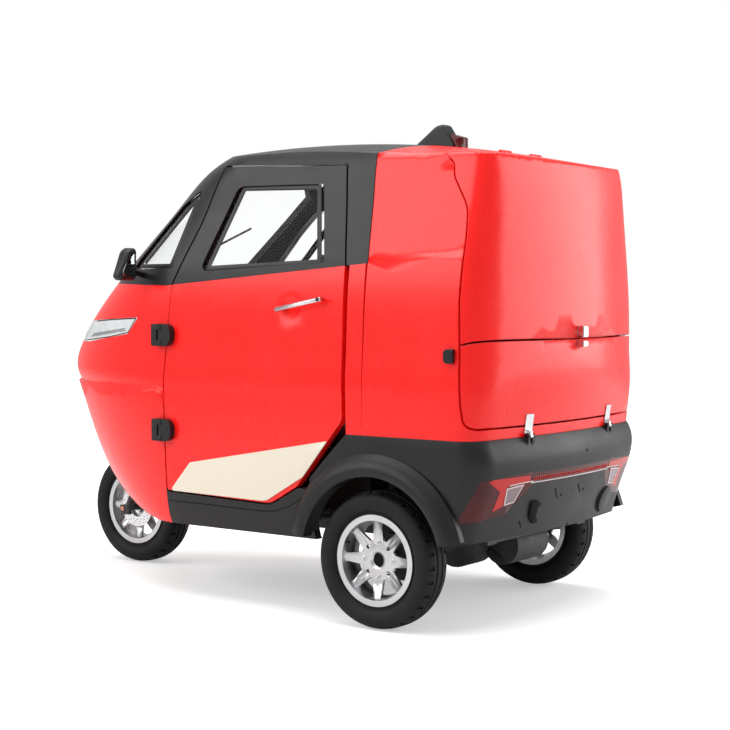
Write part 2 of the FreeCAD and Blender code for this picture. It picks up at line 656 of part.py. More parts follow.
def build_seat():
    deck_z = frame_z + rail_size / 2 + 8
    base = box((230, 700), (-300, 300), (deck_z, 600))
    hollow = box((245, 685), (-285, 285), (deck_z - 1, 585))
    add_shape("seat_base", base.cut(hollow))
    add_shape("battery_pack", box((260, 670), (-270, 270), (deck_z, 560)))
    cushion = box((250, 730), (-290, 290), (600 + rest_gap, 700))
    cushion = cushion.makeFillet(28, cushion.Edges)
    add_shape("seat_cushion", cushion)
    back = side_prism([(226, 700.6), (330, 700.6), (250, 1240), (172, 1240)], (-290, 290))
    back = back.makeFillet(24, back.Edges)
    add_shape("seat_back", back)


def build_rear_axle():
    y_end = half_track - 2
    tube = rod((0, -410, tyre_radius), (0, 410, tyre_radius), 32)
    stubs = rod((0, -y_end, tyre_radius), (0, y_end, tyre_radius), size("axle_radius"))
    case = rod((0, -70, tyre_radius), (0, 70, tyre_radius), 96)
    pieces = [tube, stubs, case]
    for side in (-1, 1):
        pieces.append(rod((0, side * 410, tyre_radius), (0, side * 424, tyre_radius), 95))
        pieces.append(rod((0, side * 390, tyre_radius), (-40, side * 392, box_floor_z - 71.8), 16))
        pieces.append(rod((0, side * 250, tyre_radius), (270, side * 250, frame_z - 4), 17))
    add_shape("rear_axle", join(pieces))
    motor = rod((-150, -250, tyre_radius - 8), (-150, -20, tyre_radius - 8), 76)
    add_shape("drive_motor", motor.cut(rod((0, -90, tyre_radius), (0, 90, tyre_radius), 96)))


def add_wheel(label, turned, along_x, along_y):
    """Tyre and spoked rim, drawn about the Y axis with the outer face at +Y."""
    half = size("tyre_width") / 2
    seat_y = size("rim_width") / 2 - 5 - rest_gap
    side_lines = [(tyre_radius, half * 0.5), (tyre_radius - 16, half * 0.86), (size("bead_radius") + 48, half),
                  (size("flange_radius") + 2, seat_y), (size("bead_radius"), seat_y)]
    tyre_lines = [(radius, -y) for radius, y in reversed(side_lines)] + side_lines
    tyre = turned_body(label + "_tyre", tyre_lines)
    bead = size("bead_radius") - rest_gap
    lip = size("rim_width") / 2
    barrel_lines = [(bead, -lip + 5), (size("flange_radius") - 6, -lip + 5), (size("flange_radius") - 6, -lip),
                    (bead - 10, -lip), (bead - 24, 0), (bead - 10, lip), (size("flange_radius") - 6, lip),
                    (size("flange_radius") - 6, lip - 5), (bead, lip - 5)]
    hub = size("hub_radius")
    bore = size("axle_radius") + running
    hub_lines = [(bore, -20), (hub, -20), (hub, 10), (hub + 28, 14), (hub + 28, 26), (hub - 8, 30), (hub_hole, 30),
                 (hub_hole, 0), (bore, 0)]
    rim = join([turned_shape(barrel_lines), turned_shape(hub_lines)] + [spoke(turn * 45) for turn in range(8)])
    for turn in range(8):
        hole = rod((62, 0, 0), (62, 60, 0), 7.5)
        hole.rotate(V(0, 0, 0), V(0, 1, 0), turn * 45)
        if turn % 2:
            rim = rim.cut(hole)
    if turned:
        rim.rotate(V(0, 0, 0), V(0, 0, 1), 180)
    wheel = doc.addObject("Part::Feature", label + "_rim")
    wheel.Shape = rim
    for piece, name in ((tyre, label + "_tyre"), (wheel, label + "_rim")):
        place(piece, name, along_x, along_y, "Sizes.tyre_radius * 1 mm")


hub_hole = 26


def spoke(turn):
    """One spoke, wide at the hub and narrow at the rim."""
    points = [V(size("hub_radius") + 6, 12, -24), V(size("hub_radius") + 6, 12, 24),
              V(size("bead_radius") - 8, 20, 13), V(size("bead_radius") - 8, 20, -13)]
    face = Part.Face(Part.makePolygon(points + points[:1]))
    arm = face.extrude(V(0, 14, 0))
    arm.rotate(V(0, 0, 0), V(0, 1, 0), turn)
    return arm


def turned_shape(lines):
    corners = [V(radius, y, 0) for radius, y in lines]
    face = Part.Face(Part.makePolygon(corners + corners[:1]))
    return face.revolve(V(0, 0, 0), V(0, 1, 0), 360)


def turned_body(label, lines):
    """A body with one closed sketch of (radius, y) corners, revolved about Y."""
    body = doc.addObject("PartDesign::Body", label)
    sketch = body.newObject("Sketcher::SketchObject", label + "_profile")
    plane = [origin for origin in body.Origin.OriginFeatures if origin.Role == "XY_Plane"][0]
    sketch.AttachmentSupport = [(plane, "")]
    sketch.MapMode = "FlatFace"
    for first, second in zip(lines, lines[1:] + lines[:1]):
        sketch.addGeometry(Part.LineSegment(V(first[0], first[1], 0), V(second[0], second[1], 0)), False)
    doc.recompute()
    turn = body.newObject("PartDesign::Revolution", label + "_turn")
    turn.Profile = sketch
    turn.ReferenceAxis = (sketch, ["V_Axis"])
    turn.Angle = 360
    doc.recompute()
    return body


def build_steering():
    half = size("fork_half_width")
    pieces = []
    crown = steer_point(300)
    axle = V(wheelbase, 0, tyre_radius)
    for side in (-1, 1):
        foot = V(axle.x, side * half, axle.z)
        head = V(crown.x + 26, side * half, crown.z + 12)
        pieces.append(rod(tuple(foot), tuple(head), 18))
    pieces.append(rod((axle.x, -half - 14, axle.z), (axle.x, half + 14, axle.z), size("axle_radius")))
    bar = box((-36, 44), (-half - 18, half + 18), (-16, 16))
    bar.rotate(V(0, 0, 0), V(0, 1, 0), -size("steer_rake"))
    bar.translate(crown)
    pieces.append(bar)
    top = steer_point(840)
    pieces.append(rod(tuple(crown), tuple(top), 22))
    add_shape("front_fork", join(pieces))
    grips = []
    for side in (-1, 1):
        rise = V(top.x - 120, side * 90, top.z + 40)
        grip = V(top.x - 230, side * 330, top.z + 30)
        grips.append(rod((top.x, 0, top.z + 12), tuple(rise), 12))
        grips.append(rod(tuple(rise), tuple(grip), 12))
        grips.append(Part.makeSphere(12, rise))
    clamp = rod(tuple(steer_point(840)), tuple(steer_point(880)), 26)
    add_shape("handlebar", join(grips + [clamp]))


hinge_y = side_y + 10
HINGE_HEIGHTS = (box_floor_z - 27, lip_z + 208)


def door_hinge(z):
    """The halves of a door hinge: fixed leaf with the pin, and the leaf that turns."""
    barrel = 11
    knuckle = 20
    tall = 43
    cover_y = (side_y - 30, hinge_y + barrel)
    pin = rod((hinge_x, hinge_y, z - tall), (hinge_x, hinge_y, z + tall), door_pin_radius)
    fixed = side_prism([(hinge_x + 13, z - tall), (hinge_x + 41, z - tall, 6), (hinge_x + 41, z + tall, 6),
                        (hinge_x + 13, z + tall)], cover_y)
    moving = side_prism([(hinge_x - 13, z - tall), (hinge_x - 13, z + tall), (hinge_x - 58, z + tall, 34),
                         (hinge_x - 58, z - tall, 34)], cover_y)
    for low in (z - tall, z + knuckle + rest_gap):
        high_end = low + tall - knuckle - rest_gap
        fixed = fixed.fuse(rod((hinge_x, hinge_y, low), (hinge_x, hinge_y, high_end), barrel))
        fixed = fixed.fuse(box((hinge_x, hinge_x + 14), (hinge_y - barrel, hinge_y + barrel), (low, high_end)))
    moving = moving.fuse(rod((hinge_x, hinge_y, z - knuckle), (hinge_x, hinge_y, z + knuckle), barrel))
    neck = box((hinge_x - 14, hinge_x), (hinge_y - barrel, hinge_y + barrel), (z - knuckle, z + knuckle))
    moving = moving.fuse(neck)
    bore = rod((hinge_x, hinge_y, z - tall), (hinge_x, hinge_y, z + tall), door_pin_radius + running)
    moving = moving.cut(bore)
    fixed = fixed.fuse(pin).cut(proud_body)
    return fixed, moving.cut(proud_body)


def build_doors():
    blank = shell.common(door_blank)
    recess_x = hinge_x - 626
    recess_z = belt_at(hinge_x) - 81
    recess_radius = 60
    recess_depth = 16
    ball = (recess_radius ** 2 + recess_depth ** 2) / (2 * recess_depth)
    skin = outer_body.common(rod((recess_x, 0, recess_z), (recess_x, wide, recess_z), 1)).BoundBox.YMax
    ball_centre = V(recess_x, skin + ball - recess_depth, recess_z)
    panel = blank.cut(above_belt).cut(Part.makeSphere(ball, ball_centre))
    upper = blank.common(above_belt).cut(window_zone)
    glass = glass_skin.common(window_zone)
    trim_zone = side_prism([(hinge_x - 137, sill_top_z + 123, 10), (hinge_x - 819, sill_top_z + 244, 8),
                            (hinge_x - 717, sill_top_z + 119, 60), (door_low_x + 20, sill_top_z, 70),
                            (hinge_x - 26, sill_top_z + 6, 8)], (0, wide)).common(door_blank)
    trim = body_loft(LOWER_ROWS, -5).common(trim_zone).cut(body_loft(LOWER_ROWS, -rest_gap))
    fixed_leaves = []
    hinges = []
    for z in HINGE_HEIGHTS:
        fixed, moving = door_hinge(z)
        fixed_leaves.append(fixed)
        hinges.append(moving)
    dish_y = ball_centre.y - math.sqrt(ball ** 2 - 34 ** 2)
    handles = {}
    for name, side in (("left", 1), ("right", -1)):
        handle_y = side * (side_y + 16)
        front_end = V(hinge_x - 585, handle_y, belt_at(hinge_x) - 90)
        rear_end = V(hinge_x - 795, handle_y, belt_at(hinge_x) - 51)
        slope = rear_end - front_end
        pieces = [Part.makeCylinder(9, slope.Length, front_end, slope)]
        for share, seat_y in ((0.08, dish_y), (0.94, skin - 1)):
            foot = front_end + slope * share
            pieces.append(rod(tuple(foot), (foot.x, side * (seat_y + 2 * rest_gap), foot.z), 8))
        handles[name] = join(pieces)
    for name, turn in (("left", False), ("right", True)):
        for node, shape in (("panel", panel), ("window_frame", upper), ("glass", glass), ("trim", trim),
                            ("hinges", Part.makeCompound(hinges))):
            add_shape("door_%s_%s" % (name, node), mirrored(shape) if turn else shape)
        add_shape("door_%s_handle" % name, handles[name])
    left_leaves = Part.makeCompound(fixed_leaves)
    add_shape("hinge_leaves", Part.makeCompound([left_leaves, mirrored(left_leaves)]))


def build_outside():
    fin_x = post_rear_x - 11
    ridge = crown_middle(fin_x)
    fin = side_prism([(fin_x + 180, ridge - 20), (fin_x + 180, ridge + 12), (fin_x + 78, ridge + 86, 60),
                      (fin_x + 44, ridge + 90, 20), (fin_x + 4, ridge + 30), (fin_x - 8, ridge - 20)], (-30, 30))
    long_edges = [edge for edge in fin.Edges if edge.BoundBox.ZMin > ridge + 20 and edge.BoundBox.YLength < 1]
    fin = fin.makeFillet(12, long_edges)
    proud_roof = roof_crown(-rest_gap)
    add_shape("roof_fin", fin.cut(proud_roof))
    lens = side_prism([(fin_x - 34, ridge - 20), (fin_x - 34, ridge + 36, 8), (fin_x + 12, ridge + 50),
                       (fin_x + 12, ridge - 20)], (-24, 24))
    add_shape("brake_lamp", lens.cut(proud_roof).cut(fin))
    housing = box((hinge_x + 130, hinge_x + 182), (side_y - 2, side_y + 96), (cowl_z + 20, cowl_z + 148))
    housing = housing.makeFillet(20, housing.Edges)
    arm = rod((hinge_x + 160, side_y - 120, cowl_z + 30), (hinge_x + 156, side_y + 20, cowl_z + 60), 12)
    mirror = housing.fuse(arm).cut(proud_body)
    add_shape("mirrors", both_sides(mirror))
    root = V(nose_x - 330, 0, cowl_z + 50)
    tip = V(nose_x - 575, -330, cowl_z + 262)
    add_shape("wiper", rod(tuple(root), tuple(tip), 5).fuse(rod((root.x - 40, 0, root.z), (root.x + 16, 0, root.z), 11))
              .cut(proud_body))


build_cabin()
build_nose()
build_posts()
build_sills()
build_cargo()
build_rear_body()
build_chassis()
build_floor()
build_seat()
build_rear_axle()
add_wheel("rear_wheel_left", False, "0 mm", "Sizes.rear_track / 2 * 1 mm")
add_wheel("rear_wheel_right", True, "0 mm", "-Sizes.rear_track / 2 * 1 mm")
add_wheel("front_wheel", False, "Sizes.wheelbase * 1 mm", "0 mm")
build_steering()
build_doors()
build_outside()

doc.recompute()
faults = [item.Label for item in doc.Objects if "Invalid" in item.State or "Error" in item.State]
faults += [piece.Label for piece in parts if piece.Shape.isNull() or not piece.Shape.isValid()]
if faults:
    raise RuntimeError("faulty pieces: " + ", ".join(faults))
os.makedirs("parts", exist_ok=True)
for piece in parts:
    piece.Shape.exportStep("parts/" + piece.Label + ".step")
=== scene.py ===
# %% [markdown]
# Enclosed electric tricycle, dressed for a studio picture.
#
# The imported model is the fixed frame: it says where every panel, wheel and door is. This lesson
# gives each of its surfaces a finish, and adds the tread, bolts, seals and trim that a viewer sees.
# Everything is in metres, +X forward, +Y to the driver's left and +Z up.

import bmesh
import bpy
import json
import math

from mathutils import Matrix, Vector
from mathutils.bvhtree import BVHTree
from mathutils.kdtree import KDTree

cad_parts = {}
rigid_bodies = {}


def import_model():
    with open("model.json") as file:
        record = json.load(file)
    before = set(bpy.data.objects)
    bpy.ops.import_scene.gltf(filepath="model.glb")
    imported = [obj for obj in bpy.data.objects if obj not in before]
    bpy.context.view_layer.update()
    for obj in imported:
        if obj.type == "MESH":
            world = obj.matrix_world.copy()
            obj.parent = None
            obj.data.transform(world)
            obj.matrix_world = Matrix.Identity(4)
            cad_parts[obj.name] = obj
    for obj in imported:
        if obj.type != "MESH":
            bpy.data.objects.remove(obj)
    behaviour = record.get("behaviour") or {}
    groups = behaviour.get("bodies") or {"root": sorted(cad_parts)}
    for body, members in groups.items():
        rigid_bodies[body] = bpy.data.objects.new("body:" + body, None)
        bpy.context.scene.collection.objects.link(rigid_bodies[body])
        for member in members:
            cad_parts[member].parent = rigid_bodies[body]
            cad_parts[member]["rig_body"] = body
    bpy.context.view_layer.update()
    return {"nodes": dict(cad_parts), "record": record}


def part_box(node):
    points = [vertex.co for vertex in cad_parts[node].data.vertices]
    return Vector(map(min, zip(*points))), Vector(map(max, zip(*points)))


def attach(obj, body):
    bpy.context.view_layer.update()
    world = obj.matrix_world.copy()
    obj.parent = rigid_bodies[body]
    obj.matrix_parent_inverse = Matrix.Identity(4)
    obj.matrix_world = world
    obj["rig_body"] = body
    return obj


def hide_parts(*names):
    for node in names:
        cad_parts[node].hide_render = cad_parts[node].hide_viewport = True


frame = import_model()
nodes = frame["nodes"]

# %% [markdown]
# The camera stands behind the left rear corner, a little over a metre up. Its place was worked
# out from the three wheels and the straight seams. A long lens keeps the box's edges nearly
# parallel, so the same lens is used here.

# %% Camera
CAMERA_PLACE = Vector((-3.95408, 5.09855, 1.18670))
CAMERA_YAW = math.radians(53.8698)
CAMERA_PITCH = math.radians(2.5268)
FOCAL_PIXELS = 1576.77
PHOTO_SIDE = 730
SENSOR = 36.0

camera_data = bpy.data.cameras.new("camera")
camera = bpy.data.objects.new("camera", camera_data)
bpy.context.scene.collection.objects.link(camera)
camera_data.sensor_width = SENSOR
camera_data.lens = FOCAL_PIXELS / PHOTO_SIDE * SENSOR
look = Vector((math.cos(CAMERA_YAW) * math.cos(CAMERA_PITCH),
               -math.sin(CAMERA_YAW) * math.cos(CAMERA_PITCH),
               -math.sin(CAMERA_PITCH)))
camera.location = CAMERA_PLACE
camera.rotation_mode = "QUATERNION"
camera.rotation_quaternion = look.to_track_quat("-Z", "Y")
bpy.context.scene.camera = camera
print("lens", round(camera_data.lens, 2))

# %% [markdown]
# A studio for a shiny vehicle is mostly large, soft, white surfaces, because the paint shows what
# stands round it. One panel hangs over the roof, one stands behind the tailgate, and one fills the
# side from shoulder height up, so that the lower half of the doors keeps its full red.

# %% Studio
scene = bpy.context.scene
scene.view_settings.view_transform = "Standard"
SKY_LIGHT = 0.45
MIRRORED = 0.12


def node_tree(owner):
    """The emptied node tree of a world or a material."""
    owner.use_nodes = True
    tree = owner.node_tree
    tree.nodes.clear()
    return tree


def math_node(tree, operation, first, second):
    """One operation on two values, each a number or an output."""
    node = tree.nodes.new("ShaderNodeMath")
    node.operation = operation
    for socket, value in zip(node.inputs, (first, second)):
        if isinstance(value, float):
            socket.default_value = value
        else:
            tree.links.new(value, socket)
    return node.outputs[0]


def rays_that_see(tree):
    """One for camera and glass rays, less for mirror rays, and zero for rays that only carry light."""
    path = tree.nodes.new("ShaderNodeLightPath")
    direct = math_node(tree, "MAXIMUM", path.outputs["Is Camera Ray"], path.outputs["Is Transmission Ray"])
    mirrored = math_node(tree, "MULTIPLY", path.outputs["Is Glossy Ray"], MIRRORED)
    return math_node(tree, "MAXIMUM", direct, mirrored)


world = bpy.data.worlds.new("studio")
scene.world = world
tree = node_tree(world)
sky = tree.nodes.new("ShaderNodeBackground")
sky.inputs["Color"].default_value = (1, 1, 1, 1)
sky_strength = tree.nodes.new("ShaderNodeMapRange")
sky_strength.inputs["To Min"].default_value = SKY_LIGHT
tree.links.new(rays_that_see(tree), sky_strength.inputs["Value"])
tree.links.new(sky_strength.outputs["Result"], sky.inputs["Strength"])
out = tree.nodes.new("ShaderNodeOutputWorld")
tree.links.new(sky.outputs[0], out.inputs["Surface"])

# name, place, aim, width and height, power in watts
LIGHTS = [
    ("roof_panel_light", (0.0, 0.4, 5.2), (0.0, 0.0, 0.6), (6.0, 5.0), 330.0),
    ("rear_panel_light", (-5.2, -4.6, 2.4), (-0.8, 0.0, 1.0), (6.0, 4.4), 260.0),
    ("side_panel_light", (3.2, 5.6, 4.0), (0.0, 0.6, 1.2), (6.5, 3.4), 230.0),
]
for name, place, aim, size, power in LIGHTS:
    lamp = bpy.data.lights.new(name, "AREA")
    lamp.shape = "RECTANGLE"
    lamp.size = size[0]
    lamp.size_y = size[1]
    lamp.energy = power
    holder = bpy.data.objects.new(name, lamp)
    holder.location = place
    holder.rotation_mode = "QUATERNION"
    holder.rotation_quaternion = (Vector(aim) - Vector(place)).to_track_quat("-Z", "Y")
    scene.collection.objects.link(holder)
print("lights", len(LIGHTS))

# %% [markdown]
# The floor is a wide pale sheet. A little white of its own, for the eye and for mirrors only,
# lifts it to the white of the backdrop, and the shadow under the vehicle stays on it. Farther out,
# where the lamps don't reach, it has more of this white, so that no horizon shows.

# %% Floor
FLOOR_HALF = 30
PAPER_GREY = 0.82
WHITER_FROM = 1.6
WHITER_TO = 6.0
LEAST_WHITE = 0.42

mesh = bpy.data.meshes.new("floor")
bm = bmesh.new()
bmesh.ops.create_grid(bm, x_segments=1, y_segments=1, size=FLOOR_HALF)
bm.to_mesh(mesh)
bm.free()
floor = bpy.data.objects.new("floor", mesh)
scene.collection.objects.link(floor)
floor_finish = bpy.data.materials.new("studio_floor")
tree = node_tree(floor_finish)
paper = tree.nodes.new("ShaderNodeBsdfDiffuse")
paper.inputs["Color"].default_value = (PAPER_GREY, PAPER_GREY, PAPER_GREY, 1)
lift = tree.nodes.new("ShaderNodeEmission")
reach = tree.nodes.new("ShaderNodeVectorMath")
reach.operation = "LENGTH"
tree.links.new(tree.nodes.new("ShaderNodeTexCoord").outputs["Object"], reach.inputs[0])
whiter = tree.nodes.new("ShaderNodeMapRange")
whiter.inputs["From Min"].default_value = WHITER_FROM
whiter.inputs["From Max"].default_value = WHITER_TO
whiter.inputs["To Min"].default_value = LEAST_WHITE
tree.links.new(reach.outputs["Value"], whiter.inputs["Value"])
lift_strength = math_node(tree, "MULTIPLY", whiter.outputs["Result"], rays_that_see(tree))
tree.links.new(lift_strength, lift.inputs["Strength"])
both = tree.nodes.new("ShaderNodeAddShader")
tree.links.new(paper.outputs[0], both.inputs[0])
tree.links.new(lift.outputs[0], both.inputs[1])
out = tree.nodes.new("ShaderNodeOutputMaterial")
tree.links.new(both.outputs[0], out.inputs["Surface"])
mesh.materials.append(floor_finish)

# %% [markdown]
# Three effects turn up on several finishes: a fine grain that breaks a highlight, broad patches
# where a surface is a little duller, and road dust that settles low down. Each is a small shader
# group that only puts out a value, so that every finish can mix it in its own way.

# %% Shared effects
def effect_group(name, settings):
    """A group that takes a place and some settings and puts out one value."""
    group = bpy.data.node_groups.new(name, "ShaderNodeTree")
    group.interface.new_socket("Place", in_out="INPUT", socket_type="NodeSocketVector")
    for setting, value in settings:
        socket = group.interface.new_socket(setting, in_out="INPUT", socket_type="NodeSocketFloat")
        socket.default_value = value
    group.interface.new_socket("Value", in_out="OUTPUT", socket_type="NodeSocketFloat")
    return group, group.nodes.new("NodeGroupInput"), group.nodes.new("NodeGroupOutput")


def grain_group():
    """Fine bumps: noise at the scale of the grain."""
    group, given, result = effect_group("grain", [("Scale", 900.0)])
    noise = group.nodes.new("ShaderNodeTexNoise")
    noise.inputs["Detail"].default_value = 4.0
    group.links.new(given.outputs["Place"], noise.inputs["Vector"])
    group.links.new(given.outputs["Scale"], noise.inputs["Scale"])
    group.links.new(noise.outputs["Fac"], result.inputs["Value"])
    return group


def patches_group():
    """Broad soft patches from zero to one."""
    group, given, result = effect_group("patches", [("Scale", 6.0)])
    noise = group.nodes.new("ShaderNodeTexNoise")
    noise.inputs["Detail"].default_value = 7.0
    noise.inputs["Roughness"].default_value = 0.62
    group.links.new(given.outputs["Place"], noise.inputs["Vector"])
    group.links.new(given.outputs["Scale"], noise.inputs["Scale"])
    sharpen = group.nodes.new("ShaderNodeMapRange")
    sharpen.interpolation_type = "SMOOTHSTEP"
    sharpen.inputs["From Min"].default_value = 0.32
    sharpen.inputs["From Max"].default_value = 0.70
    group.links.new(noise.outputs["Fac"], sharpen.inputs["Value"])
    group.links.new(sharpen.outputs["Result"], result.inputs["Value"])
    return group


def dust_group(patches):
    """Road dust, thickest at the ground and gone above the given height."""
    group, given, result = effect_group("road_dust", [("Top", 0.45), ("Amount", 0.2)])
    split = group.nodes.new("ShaderNodeSeparateXYZ")
    group.links.new(given.outputs["Place"], split.inputs[0])
    fade = group.nodes.new("ShaderNodeMapRange")
    fade.inputs["From Min"].default_value = 0.0
    fade.inputs["To Min"].default_value = 1.0
    fade.inputs["To Max"].default_value = 0.0
    group.links.new(split.outputs["Z"], fade.inputs["Value"])
    group.links.new(given.outputs["Top"], fade.inputs["From Max"])
    blotches = group.nodes.new("ShaderNodeGroup")
    blotches.node_tree = patches
    blotches.inputs["Scale"].default_value = 14.0
    group.links.new(given.outputs["Place"], blotches.inputs["Place"])
    product = math_node(group, "MULTIPLY", blotches.outputs["Value"], fade.outputs["Result"])
    group.links.new(math_node(group, "MULTIPLY", product, given.outputs["Amount"]), result.inputs["Value"])
    return group


GRAIN = grain_group()
PATCHES = patches_group()
ROAD_DUST = dust_group(PATCHES)
print("effects", [group.name for group in bpy.data.node_groups])

# %% [markdown]
# Every finish is one shader. Numbers that are the same all over a surface are set on it directly.
# Colour and roughness wander a little between patches, the grain goes to a bump, and a bevel
# lookup rounds the light on each panel's cut edge, as paint does on pressed steel.

# %% Finishes
DUST_COLOR = (0.16, 0.15, 0.135, 1)
DUST_TOP = 0.5
COAT_ROUGHNESS = 0.09
PATCH_SCALE = 7.0
EDGE_SAMPLES = 4


def use_group(tree, group, place, **settings):
    """An effect's value at a place."""
    holder = tree.nodes.new("ShaderNodeGroup")
    holder.node_tree = group
    tree.links.new(place, holder.inputs["Place"])
    for setting, value in settings.items():
        holder.inputs[setting.capitalize()].default_value = value
    return holder.outputs["Value"]


def mix_color(tree, factor, first, second):
    """A mix of two colours, each a fixed colour or an output."""
    mix = tree.nodes.new("ShaderNodeMix")
    mix.data_type = "RGBA"
    tree.links.new(factor, mix.inputs[0])
    for socket, color in ((mix.inputs[6], first), (mix.inputs[7], second)):
        if isinstance(color, tuple):
            socket.default_value = color
        else:
            tree.links.new(color, socket)
    return mix.outputs[2]


def finish(name, color, roughness, metallic=0.0, coat=0.0, transmission=0.0, specular=0.5,
           spread=0.05, tint=0.06, grain=(900.0, 0.00002), dust=0.0, edge=0.0015, ior=1.5):
    """A material: spread and tint are how far patches wander, grain is scale and depth."""
    material = bpy.data.materials.new(name)
    tree = node_tree(material)
    shader = tree.nodes.new("ShaderNodeBsdfPrincipled")
    shader.inputs["Metallic"].default_value = metallic
    shader.inputs["Coat Weight"].default_value = coat
    shader.inputs["Coat Roughness"].default_value = COAT_ROUGHNESS
    shader.inputs["Transmission Weight"].default_value = transmission
    shader.inputs["Specular IOR Level"].default_value = specular
    shader.inputs["IOR"].default_value = ior
    place = tree.nodes.new("ShaderNodeTexCoord").outputs["Object"]
    patches = use_group(tree, PATCHES, place, scale=PATCH_SCALE)
    dark = tuple(value * (1 - tint) for value in color) + (1,)
    light = tuple(min(value * (1 + tint), 1) for value in color) + (1,)
    base = mix_color(tree, patches, dark, light)
    rough = tree.nodes.new("ShaderNodeMapRange")
    rough.inputs["To Min"].default_value = max(roughness - spread, 0)
    rough.inputs["To Max"].default_value = roughness + spread
    tree.links.new(patches, rough.inputs["Value"])
    roughness_out = rough.outputs["Result"]
    if dust:
        dusty = use_group(tree, ROAD_DUST, place, top=DUST_TOP, amount=dust)
        base = mix_color(tree, dusty, base, DUST_COLOR)
        roughness_out = math_node(tree, "ADD", roughness_out, dusty)
    tree.links.new(base, shader.inputs["Base Color"])
    tree.links.new(roughness_out, shader.inputs["Roughness"])
    bump = tree.nodes.new("ShaderNodeBump")
    bump.inputs["Strength"].default_value = 1.0
    bump.inputs["Distance"].default_value = grain[1]
    tree.links.new(use_group(tree, GRAIN, place, scale=grain[0]), bump.inputs["Height"])
    if edge:
        rounder = tree.nodes.new("ShaderNodeBevel")
        rounder.samples = EDGE_SAMPLES
        rounder.inputs["Radius"].default_value = edge
        tree.links.new(rounder.outputs["Normal"], bump.inputs["Normal"])
    tree.links.new(bump.outputs["Normal"], shader.inputs["Normal"])
    out = tree.nodes.new("ShaderNodeOutputMaterial")
    tree.links.new(shader.outputs[0], out.inputs["Surface"])
    return material


FINISHES = {
    "body_red": finish("body_red", (0.92, 0.009, 0.007), 0.27, coat=0.04, specular=0.38,
                       spread=0.02, tint=0.02, grain=(60.0, 0.00006), edge=0.004),
    "frame_black": finish("frame_black", (0.011, 0.011, 0.0115), 0.34, specular=0.3, tint=0.08,
                          grain=(500.0, 0.00003), edge=0.003),
    "trim_black": finish("trim_black", (0.010, 0.010, 0.0105), 0.4, specular=0.3, tint=0.1,
                         grain=(1400.0, 0.00006), dust=0.04, edge=0.003),
    "cream_trim": finish("cream_trim", (0.76, 0.69, 0.56), 0.3, coat=0.2, spread=0.02,
                         tint=0.01, edge=0.002),
    "chassis_steel": finish("chassis_steel", (0.016, 0.016, 0.017), 0.5, tint=0.2,
                            grain=(700.0, 0.00008), dust=0.35),
    "bright_steel": finish("bright_steel", (0.66, 0.66, 0.67), 0.2, metallic=1.0, tint=0.08,
                           grain=(1200.0, 0.00002)),
    "alloy": finish("alloy", (0.58, 0.59, 0.60), 0.3, metallic=1.0, tint=0.1,
                    grain=(1000.0, 0.00004), dust=0.1, edge=0.002),
    "tyre_rubber": finish("tyre_rubber", (0.006, 0.006, 0.006), 0.6, specular=0.25, tint=0.3,
                          grain=(600.0, 0.00015), dust=0.05),
    "grip_rubber": finish("grip_rubber", (0.015, 0.015, 0.015), 0.7, tint=0.2,
                          grain=(900.0, 0.0002)),
    "clear_glass": finish("clear_glass", (0.98, 0.99, 0.99), 0.01, transmission=1.0, specular=0.1,
                          spread=0.01, tint=0.01, grain=(20.0, 0.000002), edge=0, ior=1.12),
    "lamp_clear": finish("lamp_clear", (0.60, 0.62, 0.63), 0.12, coat=0.4, tint=0.12,
                         grain=(260.0, 0.0003), edge=0.002),
    "lamp_red": finish("lamp_red", (0.065, 0.0025, 0.004), 0.16, coat=0.1, specular=0.25,
                       tint=0.3, grain=(220.0, 0.00006), edge=0.002),
    "seat_vinyl": finish("seat_vinyl", (0.03, 0.03, 0.033), 0.5, tint=0.12, grain=(500.0, 0.0003)),
}
slot_of = {row["node"]: row["material_slot"] for row in frame["record"]["subparts"]}
print("finishes", len(FINISHES))

# %% [markdown]
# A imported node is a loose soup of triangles. A copy with its corners merged can be shaded
# smoothly, with sharp edges kept where the panels turn. Pieces that get a finer form of their own
# further down are left out here.

# %% Smooth copies of the nodes
FINER = {"seat_cushion", "seat_back", "front_wheel_tyre", "rear_wheel_left_tyre",
         "rear_wheel_right_tyre"}
GLOSSY_PANELS = {"cargo_box", "tailgate_upper", "tailgate_lower"}
MERGE_DISTANCE = 2e-5
SPECK = 1e-6
SKIN_SHARP = 28
MIRROR_SLOPE_HEIGHT = 0.09
MIRROR_WIDTH = 0.094
MIRROR_TAPER = 0.6
MIRROR_CURVE = 1.3
BLEND_REACH = 0.05
BLEND_LIKE = 0.975


def merged_copy(node):
    """A bmesh of a node with the corners of its triangles merged."""
    bm = bmesh.new()
    bm.from_mesh(nodes[node].data)
    bmesh.ops.remove_doubles(bm, verts=bm.verts, dist=MERGE_DISTANCE)
    bmesh.ops.dissolve_degenerate(bm, edges=bm.edges, dist=SPECK)
    return bm


def put(name, bm, material, body, sharp_degrees=30):
    """Turn a finished bmesh into a piece that rides on a body."""
    for face in bm.faces:
        face.smooth = True
    mesh = bpy.data.meshes.new(name)
    bm.to_mesh(mesh)
    bm.free()
    mesh.set_sharp_from_angle(angle=math.radians(sharp_degrees))
    piece = bpy.data.objects.new(name, mesh)
    scene.collection.objects.link(piece)
    mesh.materials.append(material)
    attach(piece, body)
    return piece


def slope_mirror(bm):
    """Each mirror narrows toward its top, on the outer side."""
    top = max(vert.co.z for vert in bm.verts)
    reach = max(abs(vert.co.y) for vert in bm.verts)
    for vert in bm.verts:
        rise = (vert.co.z - (top - MIRROR_SLOPE_HEIGHT)) / MIRROR_SLOPE_HEIGHT
        out = abs(vert.co.y) - (reach - MIRROR_WIDTH)
        if rise > 0 and out > 0:
            vert.co.y -= math.copysign(out * MIRROR_TAPER * rise ** MIRROR_CURVE, vert.co.y)


